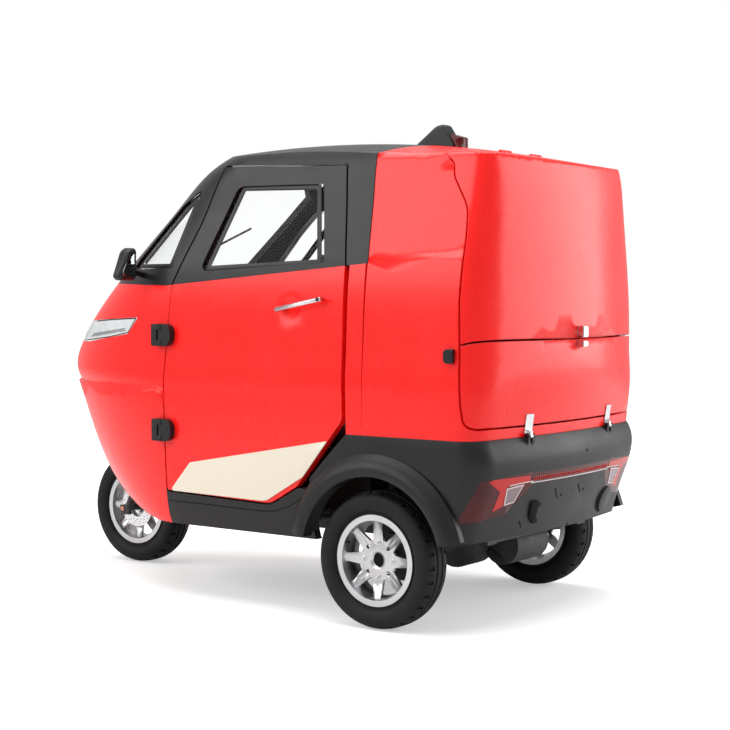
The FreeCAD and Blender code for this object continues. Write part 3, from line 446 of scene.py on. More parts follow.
def even_normals(piece):
    """Blend each corner's direction with its neighbours', so long facets don't show in the gloss."""
    mesh = piece.data
    spots = KDTree(len(mesh.loops))
    normals = [corner.vector.copy() for corner in mesh.corner_normals]
    for loop in mesh.loops:
        spots.insert(mesh.vertices[loop.vertex_index].co, loop.index)
    spots.balance()
    known = {}
    even = []
    for loop in mesh.loops:
        normal = normals[loop.index]
        key = (loop.vertex_index, round(normal.x, 2), round(normal.y, 2), round(normal.z, 2))
        if key not in known:
            total = Vector()
            here = mesh.vertices[loop.vertex_index].co
            for _, other, distance in spots.find_range(here, BLEND_REACH):
                if normals[other].dot(normal) > BLEND_LIKE:
                    total += normals[other] * (1.001 - distance / BLEND_REACH)
            known[key] = total.normalized()
        even.append(known[key])
    mesh.normals_split_custom_set(even)


for node in sorted(set(nodes) - FINER):
    bm = merged_copy(node)
    if node == "mirrors":
        slope_mirror(bm)
    piece = put("skin_" + node, bm, FINISHES[slot_of[node]], nodes[node]["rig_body"], SKIN_SHARP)
    if node in GLOSSY_PANELS:
        even_normals(piece)
    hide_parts(node)
print("skins", len(nodes) - len(FINER))

# %% [markdown]
# Small fittings have to sit on the panels. A ray from the camera through a spot of the photograph
# finds the panel's surface and which way it faces there, so a fitting is placed by where it shows.

# %% Finding a spot on a panel
BUMPER_PIXEL = (607, 500)
CAP_CORNER = 1
trees = {}


def tree_of(node):
    """A node's surface, kept ready for rays."""
    if node not in trees:
        bm = merged_copy(node)
        trees[node] = BVHTree.FromBMesh(bm)
        bm.free()
    return trees[node]


def seen(node, pixel):
    """Where a pixel falls on a node, or on the nearest of several: place and outward direction."""
    if isinstance(node, tuple):
        hits = [seen(one, pixel) for one in node if ray_hit(one, pixel)[0] is not None]
        return min(hits, key=lambda hit: (hit[0] - CAMERA_PLACE).length)
    place, outward = ray_hit(node, pixel)
    if place is None:
        raise ValueError(f"pixel {pixel} misses {node}")
    return place, outward


def falls_on(node, pixel):
    """Whether a pixel falls on a node, or on any of several."""
    one_of = node if isinstance(node, tuple) else (node,)
    return any(ray_hit(one, pixel)[0] is not None for one in one_of)


def pixel_ray(pixel):
    """The direction from the camera through a pixel of the photograph."""
    right = look.cross(Vector((0, 0, 1))).normalized()
    up = right.cross(look)
    middle = PHOTO_SIDE / 2
    aside = (pixel[0] - middle) / FOCAL_PIXELS
    below = (pixel[1] - middle) / FOCAL_PIXELS
    ray = look + right * aside - up * below
    return ray.normalized()


def ray_hit(node, pixel):
    """Where a pixel's ray meets one node, or None and None."""
    place, outward, _, _ = tree_of(node).ray_cast(CAMERA_PLACE, pixel_ray(pixel))
    return place, outward


def on_plane(pixel, y):
    """Where a pixel's ray meets an upright plane along the vehicle."""
    ray = pixel_ray(pixel)
    return CAMERA_PLACE + ray * ((y - CAMERA_PLACE.y) / ray.y)


def facing(place, outward):
    """A matrix that puts a flat piece at a place, its top along the outward direction."""
    turn = outward.to_track_quat("Z", "Y").to_matrix().to_4x4()
    return Matrix.Translation(place) @ turn


def mirror_too(bm):
    """Add the mirror image on the other side of the vehicle."""
    twin = bmesh.ops.duplicate(bm, geom=bm.verts[:] + bm.edges[:] + bm.faces[:])
    verts = [item for item in twin["geom"] if isinstance(item, bmesh.types.BMVert)]
    bmesh.ops.scale(bm, vec=(1, -1, 1), verts=verts)
    bmesh.ops.recalc_face_normals(bm, faces=bm.faces)


def disc(bm, place, outward, radius, height, bevel, segments=40, sink=0.002):
    """A round cap that stands on a panel."""
    made = bmesh.ops.create_cone(bm, cap_ends=True, segments=segments, radius1=radius, radius2=radius,
                                 depth=height + sink)
    verts = made["verts"]
    edges = list({edge for vert in verts for edge in vert.link_edges
                  if edge.calc_face_angle(0) > CAP_CORNER})
    upper = [edge for edge in edges if edge.verts[0].co.z > 0 and edge.verts[1].co.z > 0]
    bmesh.ops.translate(bm, vec=(0, 0, (height - sink) / 2), verts=verts)
    before = set(bm.verts) - set(verts)
    bmesh.ops.bevel(bm, geom=upper, offset=bevel, affect="EDGES", segments=3, profile=0.5, material=-1)
    added = [vert for vert in bm.verts if vert not in before]
    bmesh.ops.transform(bm, matrix=facing(place, outward), verts=added)


def slab(bm, corners, outward, thickness, sink=0.0015, bevel=0.0008):
    """A plate with the given corners that stands on a panel."""
    before = set(bm.verts)
    verts = [bm.verts.new(corner - outward * sink) for corner in corners]
    face = bm.faces.new(verts)
    face.normal_update()
    if face.normal.dot(outward) < 0:
        face.normal_flip()
    raised = bmesh.ops.extrude_face_region(bm, geom=[face])
    top = [item for item in raised["geom"] if isinstance(item, bmesh.types.BMVert)]
    bmesh.ops.translate(bm, vec=outward * (thickness + sink), verts=top)
    rim = [edge for edge in {edge for vert in top for edge in vert.link_edges}
           if edge.verts[0] in top and edge.verts[1] in top]
    bmesh.ops.bevel(bm, geom=rim, offset=bevel, affect="EDGES", segments=2, profile=0.5, material=-1)
    added = [face for face in bm.faces if face.verts[0] not in before]
    bmesh.ops.recalc_face_normals(bm, faces=added)


print("bumper at", [round(value, 3) for value in seen("rear_body", BUMPER_PIXEL)[0]])

# %% [markdown]
# A tyre is one closed profile turned about the axle: bead, bulging wall, shoulder and a crown with
# two grooves round it. Every fourth step of the shoulder is then pressed in, which gives the short
# cross grooves. Turning the profile keeps the wall truly round, and the grooves cost few faces.

# %% Tyres
# Half of the profile from the middle of the tread, as shares of the radius and the half width
TYRE_HALF = [
    (1.0, 0.0), (1.0, 0.16), (0.974, 0.185), (0.974, 0.265), (0.999, 0.29), (0.994, 0.45),
    (0.984, 0.60), (0.962, 0.79), (0.925, 0.935), (0.865, 0.995), (0.80, 0.985), (0.745, 0.90),
    (0.712, 0.76), (0.70, 0.685), (0.66, 0.665), (0.622, 0.66),
]
SHOULDER = (0.47, 0.80)
TREAD_SHARE = 0.94
TURN_STEPS = 120
GROOVE_EVERY = 4
GROOVE_MARGIN = 0.0012
GROOVE_DEPTH = 0.006


def tyre(node):
    """Turn the profile to the size of a node, with cross grooves in the shoulders."""
    low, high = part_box(node)
    middle = (low + high) / 2
    radius = (high.z - low.z) / 2
    half = (high.y - low.y) / 2
    side = [(share * radius, across * half) for share, across in TYRE_HALF]
    loop = side + [(reach, -y) for reach, y in reversed(side[1:])]
    bm = bmesh.new()
    verts = [bm.verts.new((reach, y, 0)) for reach, y in loop]
    edges = [bm.edges.new(pair) for pair in zip(verts, verts[1:] + verts[:1])]
    bmesh.ops.spin(bm, geom=verts + edges, cent=(0, 0, 0), axis=(0, 1, 0), angle=math.tau,
                   steps=TURN_STEPS, use_merge=True)
    bmesh.ops.remove_doubles(bm, verts=bm.verts, dist=SPECK)
    bmesh.ops.recalc_face_normals(bm, faces=bm.faces)
    pressed = []
    for face in bm.faces:
        centre = face.calc_center_median()
        in_shoulder = SHOULDER[0] < abs(centre.y) / half < SHOULDER[1]
        in_tread = math.hypot(centre.x, centre.z) > TREAD_SHARE * radius
        step = round(math.atan2(centre.z, centre.x) / math.tau * TURN_STEPS - 0.5)
        if in_shoulder and in_tread and step % GROOVE_EVERY == 0:
            pressed.append(face)
    bmesh.ops.inset_region(bm, faces=pressed, thickness=GROOVE_MARGIN, depth=-GROOVE_DEPTH,
                           use_even_offset=True)
    bmesh.ops.translate(bm, vec=middle, verts=bm.verts)
    piece = put("tread_" + node, bm, FINISHES["tyre_rubber"], nodes[node]["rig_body"], 40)
    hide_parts(node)
    return len(pressed)


for node in ("front_wheel_tyre", "rear_wheel_left_tyre", "rear_wheel_right_tyre"):
    print(node, tyre(node), "cross groove faces")

# %% [markdown]
# The alloy wheel is held by four bolts with round washers and hexagon nuts, in a circle round the
# hub. The hub has an open middle, and its shade is painted, as a black disc on the hub. A valve stem
# stands in the rim.

# %% Wheel bolts and valves
# A matt near-black. It is painted shade in the hub holes, the brake disc's holes, the bumper's slots and
# the sill groove, and a painted shadow beside the bumper's round cover. It is also the real black of the
# bumper bracket and clips.
BLACK_AND_PAINTED_SHADE = finish("black_and_painted_shade", (0.004, 0.004, 0.004), 0.8, specular=0.2)
BOLT_CIRCLE = 0.062
PLATE_FACE = 0.0265
HUB_HOLE = 0.0252
HUB_DEPTH = 0.020
VALVE_CIRCLE = 0.138
VALVE_ANGLE = 0.4
VALVE_FACE = 0.030
VALVE_RADIUS = 0.0042
VALVE_LENGTH = 0.018
# Washer, nut and bolt end: radius, height, bevel, corners, distance from the plate
BOLT_PARTS = [
    (0.0105, 0.003, 0.001, 24, 0.0),
    (0.0085, 0.008, 0.0015, 6, 0.003),
    (0.0045, 0.004, 0.0012, 16, 0.011),
]
BOLT_COUNT = 4


def wheel_fittings(prefix, outer):
    """The hub hole's painted shade as a black disc, the bolts and the valve on the outer side of a wheel.
    """
    low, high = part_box(prefix + "_rim")
    middle = (low + high) / 2
    body = nodes[prefix + "_rim"]["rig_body"]
    outward = Vector((0, outer, 0))
    # The shade in the hub's open middle is painted: a black disc on the hub.
    hub_shade = bmesh.new()
    disc(hub_shade, middle, outward, HUB_HOLE, HUB_DEPTH, 0.001, 40)
    put("hub_hole_shade_" + prefix, hub_shade, BLACK_AND_PAINTED_SHADE, body, 40)
    bolts = bmesh.new()
    for number in range(BOLT_COUNT):
        angle = number * math.tau / BOLT_COUNT
        spot = middle + Vector((math.cos(angle) * BOLT_CIRCLE, outer * PLATE_FACE,
                                math.sin(angle) * BOLT_CIRCLE))
        for radius, height, bevel, corners, distance in BOLT_PARTS:
            disc(bolts, spot + outward * distance, outward, radius, height, bevel, corners)
    put("bolts_" + prefix, bolts, FINISHES["bright_steel"], body, 40)
    valve = bmesh.new()
    foot = middle + Vector((math.cos(VALVE_ANGLE) * VALVE_CIRCLE, outer * VALVE_FACE,
                            math.sin(VALVE_ANGLE) * VALVE_CIRCLE))
    disc(valve, foot, outward, VALVE_RADIUS, VALVE_LENGTH, 0.001, 14)
    put("valve_" + prefix, valve, FINISHES["grip_rubber"], body, 40)


for prefix, outer in (("front_wheel", -1), ("rear_wheel_left", 1), ("rear_wheel_right", -1)):
    wheel_fittings(prefix, outer)
print("bolts a wheel", BOLT_COUNT)

# %% [markdown]
# Behind the spokes of each rear wheel a dark brake drum stands on the axle's flange. The front wheel
# has a drilled brake disc on its left, with a caliper that is held by the fork. The shade in the
# disc's holes is painted, as small black discs on its face.

# %% Brakes
# Radius and distance outward from the middle of the wheel
DRUM_PROFILE = [
    (0.0, -0.034), (0.040, -0.034), (0.044, -0.038), (0.070, -0.040), (0.076, -0.046),
    (0.086, -0.048), (0.089, -0.052), (0.089, -0.062), (0.086, -0.064), (0.086, -0.070),
    (0.089, -0.072), (0.089, -0.112), (0.093, -0.114), (0.093, -0.1205), (0.0, -0.1205),
]
DISC_INNER = 0.046
DISC_OUTER = 0.090
DISC_BACK = 0.0385
DISC_FRONT = 0.0420
HOLE_RINGS = (0.060, 0.070, 0.080)
HOLES_A_RING = 16
HOLE_RADIUS = 0.0024
HOLE_LEVEL = 0.0418
CALIPER_PIXEL = (127, 509)
CALIPER_BACK = 0.0475
CALIPER_THICKNESS = 0.016
CALIPER_OUTLINE = [(-0.030, -0.020), (0.024, -0.026), (0.030, 0.018), (-0.018, 0.026)]
PIN_PLACE = Vector((0.010, 0.016, 0.004))
PIN_RADIUS = 0.0105
PIN_HEIGHT = 0.005
TIP_PLACE = Vector((0.010, 0.021, 0.004))
TIP_RADIUS = 0.006
TIP_HEIGHT = 0.004
COPPER = finish("copper_plate", (0.70, 0.33, 0.22), 0.3, metallic=1.0, tint=0.1)
LEFTWARD = Vector((0, 1, 0))


def turned(bm, profile, middle, outer, steps=64):
    """Spin a profile of (radius, distance outward) about an axle."""
    verts = [bm.verts.new((radius, 0, distance)) for radius, distance in profile]
    edges = [bm.edges.new(pair) for pair in zip(verts, verts[1:])]
    bmesh.ops.spin(bm, geom=verts + edges, cent=(0, 0, 0), axis=(0, 0, 1), angle=math.tau,
                   steps=steps, use_merge=True)
    bmesh.ops.remove_doubles(bm, verts=bm.verts, dist=SPECK)
    bmesh.ops.recalc_face_normals(bm, faces=bm.faces)
    bmesh.ops.transform(bm, matrix=facing(middle, Vector((0, outer, 0))), verts=bm.verts)


for prefix, outer in (("rear_wheel_left", 1), ("rear_wheel_right", -1)):
    low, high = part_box(prefix + "_rim")
    bm = bmesh.new()
    turned(bm, DRUM_PROFILE, (low + high) / 2, outer)
    put("brake_drum_" + prefix, bm, FINISHES["chassis_steel"], "chassis", 35)

low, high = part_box("front_wheel_rim")
middle = (low + high) / 2
wheel_body = nodes["front_wheel_rim"]["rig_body"]
bm = bmesh.new()
turned(bm, [(DISC_INNER, DISC_BACK), (DISC_INNER, DISC_FRONT), (DISC_OUTER, DISC_FRONT),
            (DISC_OUTER, DISC_BACK), (DISC_INNER, DISC_BACK)], middle, 1)
put("brake_disc", bm, FINISHES["bright_steel"], wheel_body, 35)
# The shade in the disc's drilled holes is painted: small black discs on its face.
bm = bmesh.new()
for ring, radius in enumerate(HOLE_RINGS):
    for number in range(HOLES_A_RING):
        angle = (number + ring / 3) * math.tau / HOLES_A_RING
        spot = middle + Vector((math.cos(angle) * radius, HOLE_LEVEL, math.sin(angle) * radius))
        disc(bm, spot, LEFTWARD, HOLE_RADIUS, 0.0004, 0.0001, 8, sink=0.0002)
put("brake_disc_hole_shades", bm, BLACK_AND_PAINTED_SHADE, wheel_body, 35)

fork_body = nodes["front_fork"]["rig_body"]
grip = on_plane(CALIPER_PIXEL, middle.y + CALIPER_BACK)
bm = bmesh.new()
slab(bm, [grip + Vector((x, 0, z)) for x, z in CALIPER_OUTLINE], LEFTWARD, CALIPER_THICKNESS,
     sink=0, bevel=0.004)
put("brake_caliper", bm, FINISHES["chassis_steel"], fork_body, 35)
bm = bmesh.new()
disc(bm, grip + PIN_PLACE, LEFTWARD, PIN_RADIUS, PIN_HEIGHT, 0.0015, 20)
disc(bm, grip + TIP_PLACE, LEFTWARD, TIP_RADIUS, TIP_HEIGHT, 0.0012, 6)
put("caliper_pin", bm, COPPER, fork_body, 35)
print("brake disc holes", len(HOLE_RINGS) * HOLES_A_RING)

# %% [markdown]
# Each tail lamp has a small clear window for the reversing light, in a brighter part of the lens. A
# white edging runs round the window, along the lamp's upper edge and under the light bar. All of it
# is thin and lies on the lens.

# %% Tail lamp edging and windows
EDGE_WHITE = finish("lamp_edging", (0.70, 0.60, 0.60), 0.3, coat=0.1)
CLEAR_WINDOW = finish("reversing_window", (0.20, 0.15, 0.16), 0.15, coat=0.2, grain=(320.0, 0.0003))
BRIGHT_LENS = finish("bright_lens", (0.50, 0.010, 0.008), 0.16, coat=0.1, specular=0.3,
                     grain=(240.0, 0.0001))
BRIGHT_LENS_PIXELS = [(487, 481), (531, 475.5), (530, 481), (507, 487), (502, 507), (492, 512),
                      (500, 492)]
WINDOW_PIXELS = [(507, 489), (523, 485), (513, 502), (504, 505)]
UPPER_EDGE_PIXELS = [(509, 486), (522, 483), (533, 481)]
SKIN_SINK = 0.0008
SKIN_CUTS = 5
BEHIND_LAMPS = -2.0
BAR_LOW = 0.5275
BAR_START = -0.285
BAR_STEP = 0.0475
BAR_PLACES = 13
FORWARD = Vector((1, 0, 0))
REARWARD = Vector((-1, 0, 0))
# A bead's cross-section, as shares of half the width and of the height, and its sunk foot
BEAD_SHAPE = [(-1, 0.5), (-0.7, 1), (0.7, 1), (1, 0.5)]
BEAD_FOOT = -0.001
SHARPEST_MITRE = 0.5


def skin_patch(bm, node, pixels, thickness):
    """A thin skin that follows a panel inside an outline of pixels."""
    flat = [bm.verts.new((pixel[0], pixel[1], 0)) for pixel in pixels]
    face = bm.faces.new(flat)
    faces = bmesh.ops.triangulate(bm, faces=[face])["faces"]
    edges = list({edge for item in faces for edge in item.edges})
    bmesh.ops.subdivide_edges(bm, edges=edges, cuts=SKIN_CUTS, use_grid_fill=True)
    facings = []
    for vert in bm.verts:
        vert.co, outward = seen(node, (vert.co.x, vert.co.y))
        facings.append(outward)
    outward = sum(facings, Vector()).normalized()
    raised = bmesh.ops.extrude_face_region(bm, geom=bm.faces[:])
    top = [item for item in raised["geom"] if isinstance(item, bmesh.types.BMVert)]
    bmesh.ops.translate(bm, vec=outward * -SKIN_SINK, verts=bm.verts)
    bmesh.ops.translate(bm, vec=outward * (thickness + SKIN_SINK), verts=top)
    bmesh.ops.recalc_face_normals(bm, faces=bm.faces)


def lens_skin(name, node, pixels, material, thickness):
    """A skin patch and its mirror image as one piece."""
    bm = bmesh.new()
    skin_patch(bm, node, pixels, thickness)
    mirror_too(bm)
    put(name, bm, material, "chassis", 30)


def ribbon(bm, line, width, height):
    """One bead along a line of (place, outward direction), with rounded shoulders."""
    closed = (line[0][0] - line[-1][0]).length < 1e-5
    section = [(-1, BEAD_FOOT)] + [(side, share * height) for side, share in BEAD_SHAPE] + [(1, BEAD_FOOT)]
    rows = []
    for number, (place, outward) in enumerate(line):
        before = line[number - 1][0] if number else (line[-2][0] if closed else place)
        after = line[number + 1][0] if number + 1 < len(line) else (line[1][0] if closed else place)
        turn_in = (place - before).normalized()
        turn_out = (after - place).normalized()
        along = (turn_in + turn_out).normalized()
        mitre = 1 / max(along.dot(turn_out if turn_out.length else turn_in), SHARPEST_MITRE)
        across = outward.cross(along).normalized() * (width / 2 * mitre)
        rows.append([bm.verts.new(place + across * side + outward * rise) for side, rise in section])
    for first, second in zip(rows, rows[1:]):
        for number in range(len(first)):
            after = (number + 1) % len(first)
            bm.faces.new((first[number], first[after], second[after], second[number]))
    if not closed:
        bm.faces.new(rows[0])
        bm.faces.new(rows[-1])
    bmesh.ops.remove_doubles(bm, verts=bm.verts, dist=1e-7)
    bmesh.ops.recalc_face_normals(bm, faces=bm.faces)


def pixel_line(node, pixels, steps):
    """Places on a panel along a line of pixels, each stretch in a few steps."""
    line = []
    for start, end in zip(pixels, pixels[1:]):
        for number in range(steps):
            share = number / steps
            line.append((start[0] + (end[0] - start[0]) * share,
                         start[1] + (end[1] - start[1]) * share))
    return [seen(node, pixel) for pixel in line + pixels[-1:] if falls_on(node, pixel)]


def edging(name, node, pixels, material, width, height, steps=5, bodies=("chassis", "chassis")):
    """A thin bead along a line of pixels, and its mirror image on the other side."""
    line = pixel_line(node, pixels, steps)
    for side, body in zip(("left", "right"), bodies):
        bm = bmesh.new()
        ribbon(bm, line, width, height)
        if side == "right":
            bmesh.ops.scale(bm, vec=(1, -1, 1), verts=bm.verts)
            bmesh.ops.recalc_face_normals(bm, faces=bm.faces)
        put(name + "_" + side, bm, material, body, 30)


lens_skin("lamp_bright_lenses", "tail_lamps", BRIGHT_LENS_PIXELS, BRIGHT_LENS, 0.0008)
lens_skin("lamp_windows", "tail_lamps", WINDOW_PIXELS, CLEAR_WINDOW, 0.0018)
edging("lamp_window_edging", "tail_lamps", WINDOW_PIXELS + WINDOW_PIXELS[:1], EDGE_WHITE, 0.005,
       0.003)
edging("lamp_upper_edging", "tail_lamps", UPPER_EDGE_PIXELS, EDGE_WHITE, 0.004, 0.0024)

line = []
for number in range(BAR_PLACES):
    start = Vector((BEHIND_LAMPS, BAR_START + number * BAR_STEP, BAR_LOW))
    place, _, _, _ = tree_of("tail_lamps").ray_cast(start, FORWARD)
    if place is not None:
        line.append((place, REARWARD))
bm = bmesh.new()
ribbon(bm, line, 0.004, 0.002)
put("lamp_bar_edging", bm, EDGE_WHITE, "chassis", 30)
print("places on the light bar", len(line))

# %% [markdown]
# Inside the light bar a row of upright ribs scatters the light. They show as fine darker teeth, so
# each one is a small raised fin with only a few faces.

# %% Ribs of the light bar
RIB_COUNT = 46
RIB_SPAN = 0.275
RIB_LEVEL = 0.545
RIB_HALF_WIDTH = Vector((0, 0.0022, 0))
RIB_HALF_HEIGHT = Vector((0, 0, 0.010))
RIB_DEPTH = 0.0012

bm = bmesh.new()
made = 0
for number in range(RIB_COUNT):
    y = -RIB_SPAN + 2 * RIB_SPAN * number / (RIB_COUNT - 1)
    place, _, _, _ = tree_of("tail_lamps").ray_cast(Vector((BEHIND_LAMPS, y, RIB_LEVEL)), FORWARD)
    if place is None:
        continue
    corners = [place - RIB_HALF_WIDTH - RIB_HALF_HEIGHT, place + RIB_HALF_WIDTH - RIB_HALF_HEIGHT,
               place + RIB_HALF_WIDTH + RIB_HALF_HEIGHT, place - RIB_HALF_WIDTH + RIB_HALF_HEIGHT]
    slab(bm, corners, REARWARD, RIB_DEPTH, bevel=0.0003)
    made += 1
put("lamp_bar_ribs", bm, BRIGHT_LENS, "chassis", 30)
print("ribs", made)

# %% [markdown]
# The rear bumper carries a round cover, a bracket, three slots and a few clips. A wider black disc
# under the cover, set a little to one side, is a painted shadow beside it. The shade in the slots is
# painted, as thin plates of matt black that lie almost level with the plastic.

# %% Fittings of the bumper
PORT_PIXEL = (603, 498)
PORT_RADIUS = 0.050
PORT_HEIGHT = 0.009
PORT_SHADOW_HEIGHT = 0.004
PORT_SHADOW_RADIUS = PORT_RADIUS + 0.004
PORT_SHADOW_ASIDE = Vector((0, 0.012, 0))
SLOT_PIXELS = [((555, 488), (557, 498)), ((578, 484), (580, 492)), ((519, 521), (521, 527))]
SLOT_HALF_WIDTH = 0.0035
CLIP_PIXELS = [(567, 524), (587, 450), (561, 495), (583, 489)]
CLIP_RADIUS = 0.005
BRACKET_THICKNESS = 0.007
BRACKET_PIXELS = [(531, 501), (537, 500), (541, 503), (537, 507), (535, 515), (536, 522),
                  (531, 523), (528, 517), (529, 508)]

place, outward = seen("rear_body", PORT_PIXEL)
bm = bmesh.new()
disc(bm, place, outward, PORT_RADIUS, PORT_HEIGHT, 0.003, 48)
put("port_cover", bm, FINISHES["trim_black"], "chassis", 40)
# A wider black disc under the cover, shifted to one side, is a painted shadow: a dark crescent beside it.
bm = bmesh.new()
disc(bm, place + PORT_SHADOW_ASIDE, outward, PORT_SHADOW_RADIUS, PORT_SHADOW_HEIGHT, 0.0008, 48)
put("port_painted_shadow", bm, BLACK_AND_PAINTED_SHADE, "chassis", 40)

# The shade inside each slot is painted, as a thin matt black plate. The clips are small black discs.
bm = bmesh.new()
for top, bottom in SLOT_PIXELS:
    upper, outward = seen("rear_body", top)
    lower, _ = seen("rear_body", bottom)
    across = outward.cross(upper - lower).normalized() * SLOT_HALF_WIDTH
    corners = [upper - across, upper + across, lower + across, lower - across]
    slab(bm, corners, outward, 0.0006, bevel=0.0002)
for pixel in CLIP_PIXELS:
    place, outward = seen("rear_body", pixel)
    disc(bm, place, outward, CLIP_RADIUS, 0.0012, 0.0004, 16)
put("bumper_slot_shades_and_clips", bm, BLACK_AND_PAINTED_SHADE, "chassis", 40)

found = [seen("rear_body", pixel) for pixel in BRACKET_PIXELS]
outward = sum((normal for place, normal in found), Vector()).normalized()
bm = bmesh.new()
slab(bm, [place for place, normal in found], outward, BRACKET_THICKNESS, bevel=0.0025)
put("bumper_bracket", bm, BLACK_AND_PAINTED_SHADE, "chassis", 40)
print("slots", len(SLOT_PIXELS), "clips", len(CLIP_PIXELS))

# %% [markdown]
# Black rubber seals lie round the side windows. Along the sill below the doors the shade of a groove
# is painted, as a thin black bead.
# Each headlamp has a dark seal above and below, and a bright reflector band along its lower edge.

# %% Seals and grooves
SEAL_BLACK = finish("seal_black", (0.004, 0.004, 0.004), 0.35, specular=0.35)
DOORS = ("door_left", "door_right")
CHASSIS = ("chassis", "chassis")
SILL_GROOVE_SHADE = [(169, 500), (220, 506), (262, 511), (276, 511), (290, 506), (303, 497)]
DOOR_GLASS = [(208, 268.5), (245, 188.5), (319.5, 187), (319.5, 262), (208, 268.5)]
HEADLAMP_TOP = [(97, 321), (112, 319.5), (136, 318.2)]
HEADLAMP_FOOT = [(136, 318.5), (128, 332.5), (108, 337), (86, 340)]
HEADLAMP_BAND = [(94, 333), (125, 328), (126, 331), (91, 337)]
QUARTER_FRONT = [(146, 263), (198, 198.5)]
QUARTER_REAR = [(141, 266.5), (171, 266), (198, 199)]

# name, node, pixels, finish, width, height, bodies on the left and right
BEADS = [
    # The sill groove's shade is painted, as a thin black bead.
    ("sill_groove_shade", ("sills", "rear_body"), SILL_GROOVE_SHADE, BLACK_AND_PAINTED_SHADE, 0.004, 0.0006, CHASSIS),
    ("headlamp_seal_top", "headlamps", HEADLAMP_TOP, SEAL_BLACK, 0.005, 0.0012, CHASSIS),
    ("door_seal", "door_left_glass", DOOR_GLASS, SEAL_BLACK, 0.020, 0.002, DOORS),
    ("quarter_seal_front", "quarter_windows", QUARTER_FRONT, SEAL_BLACK, 0.026, 0.003, CHASSIS),
    ("quarter_seal_rear", "quarter_windows", QUARTER_REAR, SEAL_BLACK, 0.018, 0.003, CHASSIS),
    ("headlamp_seal_foot", "headlamps", HEADLAMP_FOOT, SEAL_BLACK, 0.004, 0.0012, CHASSIS),
]
for name, node, pixels, material, width, height, bodies in BEADS:
    edging(name, node, pixels, material, width, height, bodies=bodies)
lens_skin("headlamp_bands", "headlamps", HEADLAMP_BAND, FINISHES["alloy"], 0.0008)
print("beads a side", len(BEADS))

# %% [markdown]
# A door handle is a chrome bar over a round dish pressed into the door, with a key lock in its rear
# end. The lock is a small black disc.

# %% Key locks
LOCK_RADIUS = 0.0075
LOCK_HEIGHT = 0.0028
LOCK_FROM_END = 0.014
LOCK_RISE = 0.018
LOCK_SINK = 0.0005

low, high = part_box("door_left_handle")
lock = Vector((low.x + LOCK_FROM_END, high.y - LOCK_SINK, (low.z + high.z) / 2 + LOCK_RISE))
for side, door in zip((1, -1), DOORS):
    place = Vector((lock.x, side * lock.y, lock.z))
    bm = bmesh.new()
    disc(bm, place, Vector((0, side, 0)), LOCK_RADIUS, LOCK_HEIGHT, 0.0008, 24)
    put(door.replace("door", "key_lock"), bm, FINISHES["grip_rubber"], door, 40)
print("lock at", [round(value, 3) for value in lock])

# %% [markdown]
# The seat is foam under vinyl. A block of foam is remeshed, blown up a little by a cloth simulation
# with pressure, and kept from swelling past its place, so its faces crown and its sides pull in.

# %% Seat cushions
PRESSURE = 4.0
VOXEL = 0.012
SHRINK = 0.965
MOST_SWELL = 0.012
LAST_STEP = 20
FILLS = {"seat_cushion": 0.7, "seat_back": 0.65}


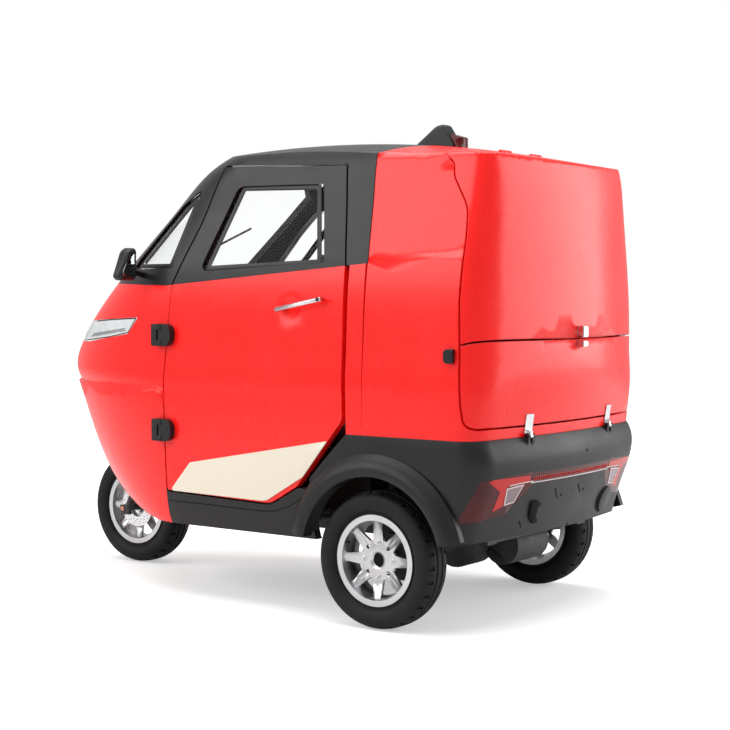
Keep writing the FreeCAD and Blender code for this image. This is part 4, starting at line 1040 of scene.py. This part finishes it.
def cushion(node):
    """Blow a block of foam up inside its node's box."""
    low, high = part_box(node)
    middle = (low + high) / 2
    bm = merged_copy(node)
    bmesh.ops.translate(bm, vec=-middle, verts=bm.verts)
    bmesh.ops.scale(bm, vec=(SHRINK, SHRINK, SHRINK), verts=bm.verts)
    bmesh.ops.translate(bm, vec=middle, verts=bm.verts)
    piece = put("pad_" + node, bm, FINISHES["seat_vinyl"], nodes[node]["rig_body"], 180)
    bpy.context.view_layer.objects.active = piece
    for other in bpy.context.selected_objects:
        other.select_set(False)
    piece.select_set(True)
    remesh = piece.modifiers.new("even_faces", "REMESH")
    remesh.mode = "VOXEL"
    remesh.voxel_size = VOXEL
    bpy.ops.object.modifier_apply(modifier=remesh.name)
    rest = [vert.co.copy() for vert in piece.data.vertices]
    cloth = piece.modifiers.new("foam", "CLOTH")
    cloth.settings.use_pressure = True
    cloth.settings.uniform_pressure_force = PRESSURE
    cloth.settings.effector_weights.gravity = 0.0
    cloth.settings.quality = 5
    cloth.point_cache.frame_start = 1
    cloth.point_cache.frame_end = LAST_STEP
    for number in range(1, LAST_STEP + 1):
        scene.frame_set(number)
    bpy.ops.object.modifier_apply(modifier=cloth.name)
    scene.frame_set(1)
    for vert, home in zip(piece.data.vertices, rest):
        move = vert.co - home
        if move.length > MOST_SWELL:
            vert.co = home + move.normalized() * MOST_SWELL
        for axis in range(3):
            vert.co[axis] = min(max(vert.co[axis], low[axis]), high[axis])
    for polygon in piece.data.polygons:
        polygon.use_smooth = True
    smoother = piece.modifiers.new("soft_form", "SUBSURF")
    smoother.levels = 1
    smoother.render_levels = 1
    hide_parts(node)
    print(node, len(piece.data.polygons), "faces")


for node, fill in FILLS.items():
    cushion(node)

# %% [markdown]
# A rubber grip goes over each end of the handlebar, along the line from the bend to the end.

# %% Grips
GRIP_RADIUS = 0.017
BEND_AHEAD = 0.05
BEND_INSIDE = 0.11

bm = bmesh.new()
low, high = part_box("handlebar")
bar = tree_of("handlebar")
for side in (-1, 1):
    place, _, _, _ = bar.find_nearest(Vector((low.x, side * high.y, (low.z + high.z) / 2)))
    bend = Vector((low.x + BEND_AHEAD, side * (high.y - BEND_INSIDE), high.z))
    inner, _, _, _ = bar.find_nearest(bend)
    outward = (place - inner).normalized()
    disc(bm, inner, outward, GRIP_RADIUS, (place - inner).length, 0.004, 24)
put("hand_grips", bm, FINISHES["grip_rubber"], nodes["handlebar"]["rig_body"], 40)
print("grip length", round((place - inner).length, 3))

# %% [markdown]
# The mirror's glass faces the driver, so it is on the rear of the housing, set in a thin frame.

# %% Mirror glass
MIRROR_SILVER = finish("mirror_silver", (0.30, 0.31, 0.32), 0.03, metallic=1.0, spread=0.01,
                       tint=0.01, edge=0)
GLASS_INSET = 0.016
HOUSING_HEIGHT = 0.125

low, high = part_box("mirrors")
inner = high.y - MIRROR_WIDTH + GLASS_INSET
outer = high.y - GLASS_INSET
narrow = high.y - MIRROR_WIDTH + (MIRROR_WIDTH - GLASS_INSET) * (1 - MIRROR_TAPER)
bottom = high.z - HOUSING_HEIGHT + GLASS_INSET
waist = high.z - MIRROR_SLOPE_HEIGHT
top = high.z - GLASS_INSET
outline = [(inner, bottom), (outer, bottom), (outer, waist), (narrow, top), (inner, top)]
bm = bmesh.new()
slab(bm, [Vector((low.x, y, z)) for y, z in outline], REARWARD, 0.0006, bevel=0.0003)
mirror_too(bm)
put("mirror_glass", bm, MIRROR_SILVER, "chassis", 30)
print("mirror glass", round(outer - inner, 3), "by", round(top - bottom, 3))
